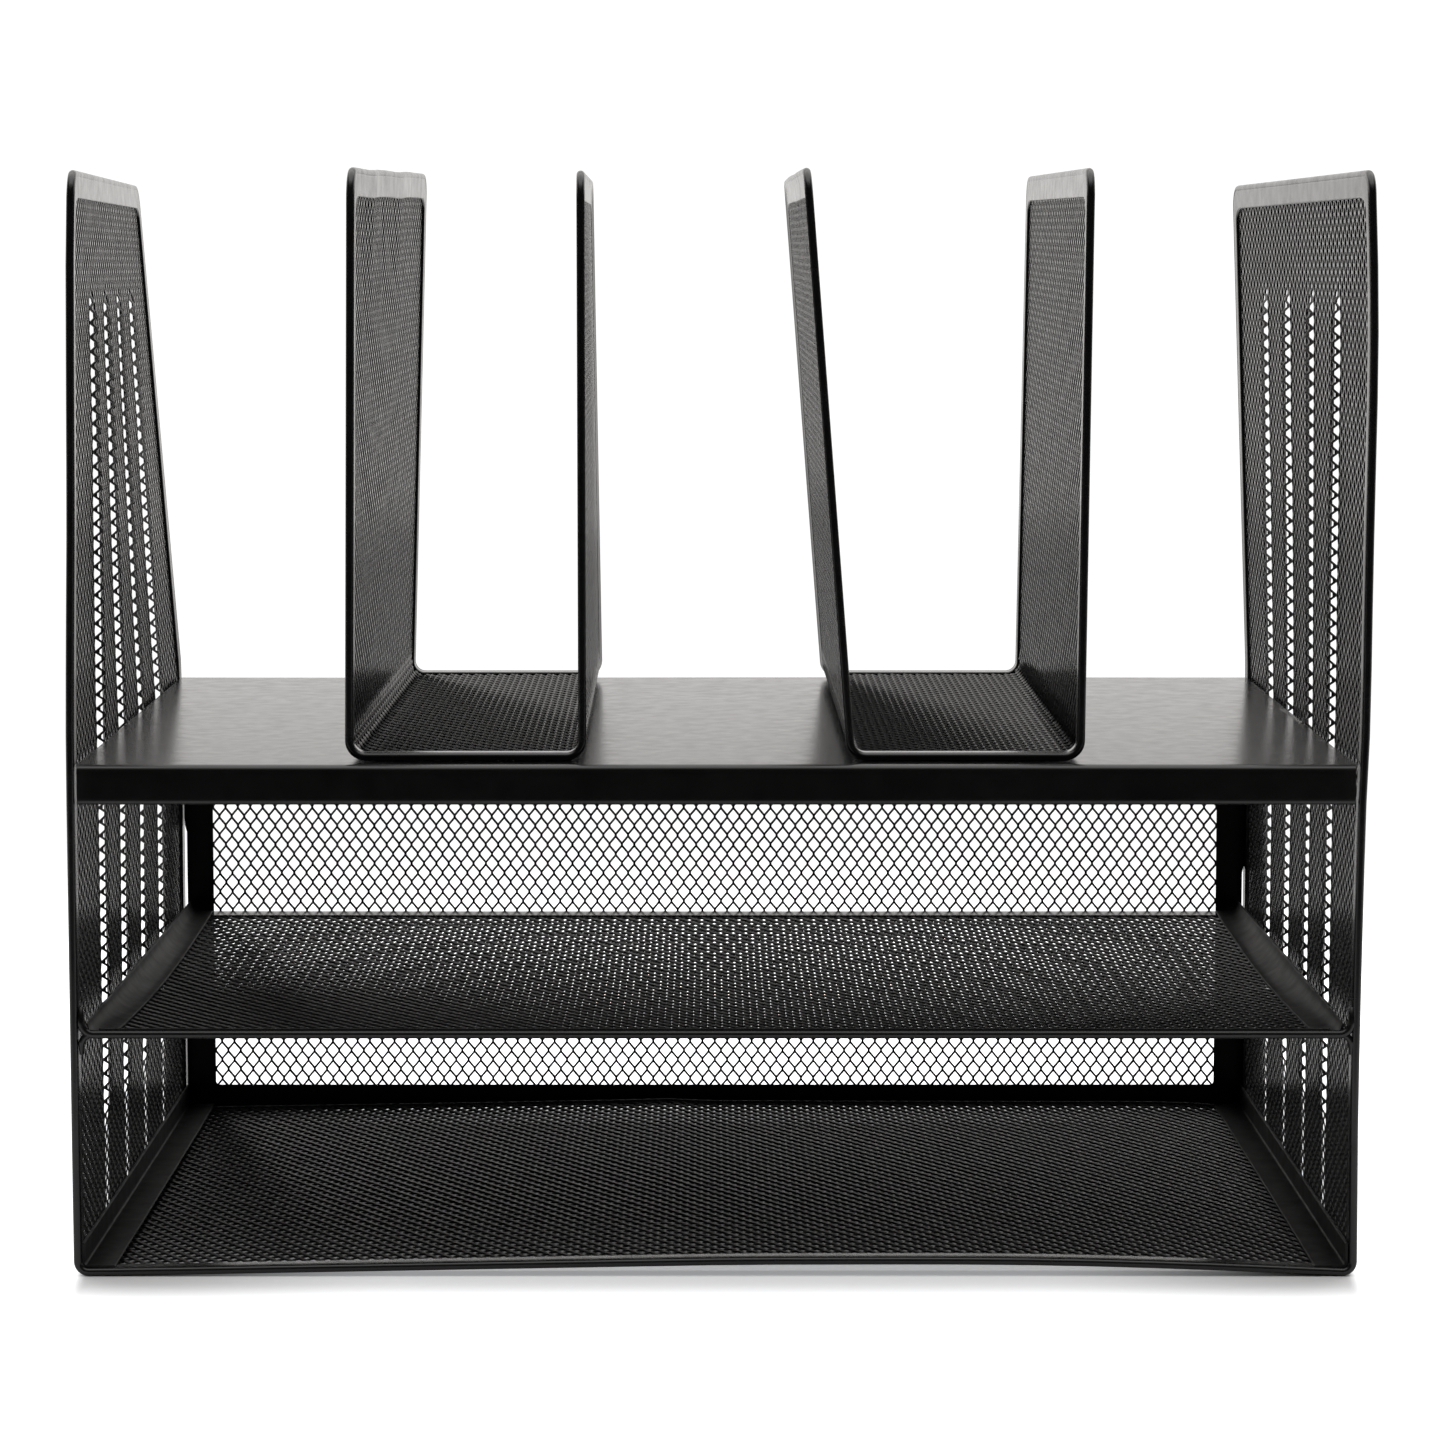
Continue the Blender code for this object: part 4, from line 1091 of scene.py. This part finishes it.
def shape_2(side, y, z):
    """The left wing's top bows outwards and dips."""
    t, top = div_along(y), near_top(z)
    dx = np.where(side < 0, -0.8 * MM * arch(t) * top, 0.0)
    dz = np.where(side < 0, top * bumps(y, ((-20, 30, -0.3),)), 0.0)
    return dx, dz + wing_rise(z) * np.where(side < 0, 0.9 + 1.2 * t, 0.8 + 2.6 * t) * MM


def build_divider(name, left, right, shape, seed):
    sheet = BentSheet(wing_line(left), wing_line(right),
                      lambda y: shelf_z(y) + 0.3 * MM + WIRE_R, DIV_CORNER,
                      seed=seed, uneven=DIV_UNEVEN, shape=shape)
    loop = np.array(bend_outline(sheet, 0.0, DIV_FRONT, DIV_REAR, WING_CORNER, WING_CORNER))
    ob = wire("rim_wire_" + name, sheet.point(loop[:, 0], loop[:, 1]), WIRE_R, MAT_WIRE,
              closed=True)
    place(ob, name, "black_wire", name + "_rim_wire")

    y0, y1 = DIV_FRONT + DIV_BORDER_SIDE, DIV_REAR - DIV_BORDER_SIDE
    outer = bend_outline(sheet, EDGE, DIV_FRONT + EDGE, DIV_REAR - EDGE,
                         WING_CORNER - EDGE, WING_CORNER - EDGE)
    inner = bend_outline(sheet, DIV_BORDER_TOP, y0, y1, OPENING_R, OPENING_RY)
    ob = hem("hem_" + name, sheet.point, outer, inner, MAT_HEM, closed=True)
    place(ob, name, "black_border", name + "_border")

    def tilt(s, y):
        # upright strands are nearly flat, those of the floor lean
        inside = sheet.flat / 2 + 14 * MM - np.abs(s - sheet.length / 2)
        return DIV_TILT + (DIV_FLOOR_TILT - DIV_TILT) * np.clip(inside / (8 * MM), 0.0, 1.0)

    ob = expanded("expanded_" + name, sheet.point, DIV_BORDER_TOP,
                  sheet.length - DIV_BORDER_TOP, y0, y1, MAT_MESH, seed + 1,
                  DIV_H, tilt=tilt, jitter=FINE_JITTER, blunt=BLUNT)
    place(ob, name, "black_mesh", name + "_mesh")


# ---------------------------------------------------------------- studio
def floor_material():
    """Pale, and lost in white beyond the object. To the camera the floor is a darker matte, which
    keeps the real shadow, plus a painted glow that is weaker near the footprint; the glow whitens the
    floor away from the object and so paints a tight shadow round it. Its front part is dark, so it
    doesn't show in the object's front faces."""
    dark_y = (-0.75, -0.30)          # the floor falls into the dark over this range
    # painted light: a glow on the floor, seen by the camera only, that paints the shadow round the
    # footprint
    painted_glow_rim, painted_glow_far = 0.31, 1.2   # glow at the footprint's edge and away from it
    painted_shadow_fade = (0.008, 0.050)            # distances over which the shadow fades to white
    mat = bpy.data.materials.new("studio_floor")
    mat.use_nodes = True
    nodes = Nodes(mat.node_tree, clear=True)
    calc = nodes.math
    output = nodes.add("OutputMaterial")
    spot = nodes.add("TexCoord").outputs["Object"]
    axes = nodes.add("SeparateXYZ", {"Vector": spot})
    camera_ray = nodes.add("LightPath").outputs["Is Camera Ray"]

    def from_middle(axis, middle):
        return calc("ABSOLUTE", calc("SUBTRACT", axes.outputs[axis], middle), 0.0)

    def beyond_y():
        return calc("SUBTRACT", calc("ABSOLUTE", axes.outputs["Y"], 0.0), -FRONT)

    tone = calc("MAXIMUM", nodes.map(axes.outputs["Y"], over=dark_y, to=(0.02, 0.86)),
                calc("MULTIPLY", camera_ray, 0.63))
    colour = nodes.add("CombineColor", {
        0: tone, 1: calc("MULTIPLY", tone, 1.004), 2: calc("MULTIPLY", tone, 1.012)})
    matte = nodes.add("BsdfDiffuse", {"Color": colour.outputs["Color"]})

    # painted shadow: the glow grows with the distance from the footprint, so the shadow is tight and
    # the floor fades to white away from it
    off_x = calc("SUBTRACT", from_middle("X", X0), SHELL_HALF - 0.004)
    off_x = calc("MULTIPLY", calc("MAXIMUM", off_x, 0.0), 7.0)
    off_y = calc("MAXIMUM", beyond_y(), 0.0)
    off = calc("ADD", calc("MULTIPLY", off_x, off_x), calc("MULTIPLY", off_y, off_y))
    off = calc("SQRT", off, 0.0)
    beyond = (calc("SUBTRACT", from_middle("X", X0), SHELL_HALF), beyond_y())
    # the painted shadow is deepest where the two corners stand on the table, as the rim glow is taken
    # away near both ends
    middle = nodes.map(from_middle("X", X0), over=(0.10, 0.20), to=(1.0, 0.0))
    painted_glow_at_rim = nodes.map(calc("MAXIMUM", *beyond), over=(-0.030, -0.016), to=(0.0, painted_glow_rim))
    lift = calc("ADD", calc("MULTIPLY", painted_glow_at_rim, middle),
                nodes.map(off, over=painted_shadow_fade, to=(0.0, painted_glow_far - painted_glow_rim)))
    # the glow is slightly blue, which tints the painted shadow blue-grey
    glow = nodes.add("Emission", {"Color": (0.965, 0.98, 1.0, 1),
                                  "Strength": calc("MULTIPLY", camera_ray, lift)})
    lit = nodes.add("AddShader", {0: matte.outputs["BSDF"], 1: glow.outputs["Emission"]})

    # far out the floor is clear to the camera
    far = nodes.add("VectorMath", {0: spot}, operation="LENGTH").outputs["Value"]
    gone = nodes.map(far, over=(0.55, 1.0), to=(0.0, 1.0))
    clear = nodes.add("BsdfTransparent")
    mix = nodes.add("MixShader", {"Fac": calc("MULTIPLY", gone, camera_ray),
                                  1: lit.outputs["Shader"], 2: clear.outputs["BSDF"]})
    nodes.feed(output, {"Surface": mix.outputs["Shader"]})
    return mat


def build_floor():
    size = 4.0
    corners = [(-size, -size, 0), (size, -size, 0), (size, size, 0), (-size, size, 0)]
    mesh = bpy.data.meshes.new("studio_floor")
    mesh.from_pydata(corners, [], [(0, 1, 2, 3)])
    ob = bpy.data.objects.new("studio_floor", mesh)
    bpy.context.scene.collection.objects.link(ob)
    mesh.materials.append(floor_material())


def build_world():
    """White behind and above, dim in front of the object; plain white to the camera."""
    front_dim, back_white, top_white = 0.03, 1.13, 1.08
    world = bpy.data.worlds.new("studio")
    bpy.context.scene.world = world
    world.use_nodes = True
    nodes = Nodes(world.node_tree, clear=True)
    output = nodes.add("OutputWorld")
    direction = nodes.add("TexCoord").outputs["Generated"]
    axes = nodes.add("SeparateXYZ", {"Vector": direction})
    rear = nodes.map(axes.outputs["Y"], over=(-0.15, 0.55), to=(front_dim, back_white))
    high = nodes.map(axes.outputs["Z"], over=(0.55, 0.98), to=(0.0, top_white))
    room = nodes.add("Background", {"Color": (1.0, 0.978, 0.955, 1),
                                    "Strength": nodes.math("MAXIMUM", rear, high)})
    white = nodes.add("Background", {"Color": (1, 1, 1, 1), "Strength": 1.06})
    mix = nodes.add("MixShader", {
        "Fac": nodes.add("LightPath").outputs["Is Camera Ray"],
        1: room.outputs["Background"], 2: white.outputs["Background"]})
    nodes.feed(output, {"Surface": mix.outputs["Shader"]})


def build_softbox():
    light = bpy.data.lights.new("softbox_top", "AREA")
    light.shape = "RECTANGLE"
    light.size, light.size_y = 2.4, 2.0
    light.energy = 18.0
    ob = bpy.data.objects.new("softbox_top", light)
    ob.location = (0.0, 0.1, 1.7)
    target = Vector((0, 0, 0.1))
    ob.rotation_mode = "QUATERNION"
    ob.rotation_quaternion = (target - Vector((0.0, 0.1, 1.7))).to_track_quat("-Z", "Y")
    bpy.context.scene.collection.objects.link(ob)


def build_camera():
    camera = bpy.data.cameras.new("camera")
    camera.lens = 107.97508651
    camera.sensor_width = 36.0
    camera.clip_start, camera.clip_end = 0.05, 50.0
    ob = bpy.data.objects.new("camera", camera)
    look_down = 6.0      # degrees
    ob.location = (X0 + 0.0020, -1.5355, 0.3292)
    ob.rotation_euler = (math.radians(90 - look_down), 0, 0)
    bpy.context.scene.collection.objects.link(ob)
    bpy.context.scene.camera = ob


# ---------------------------------------------------------------- build
build_shell_rim()
build_end_hems()
build_end_meshes()
build_bottom_tray()
build_bottom_angles()
build_tray_floor()
build_tray_hems()
build_tray_strips()
build_tray_wire()
build_shelf()
build_rear_panel()
build_divider("divider_1", LEFT_WING_1, RIGHT_WING_1, shape_1, seed=31)
build_divider("divider_2", LEFT_WING_2, RIGHT_WING_2, shape_2, seed=41)

build_floor()
build_world()
build_softbox()
build_camera()
bpy.context.scene.view_settings.view_transform = "Standard"
bpy.context.scene.view_settings.look = "None"
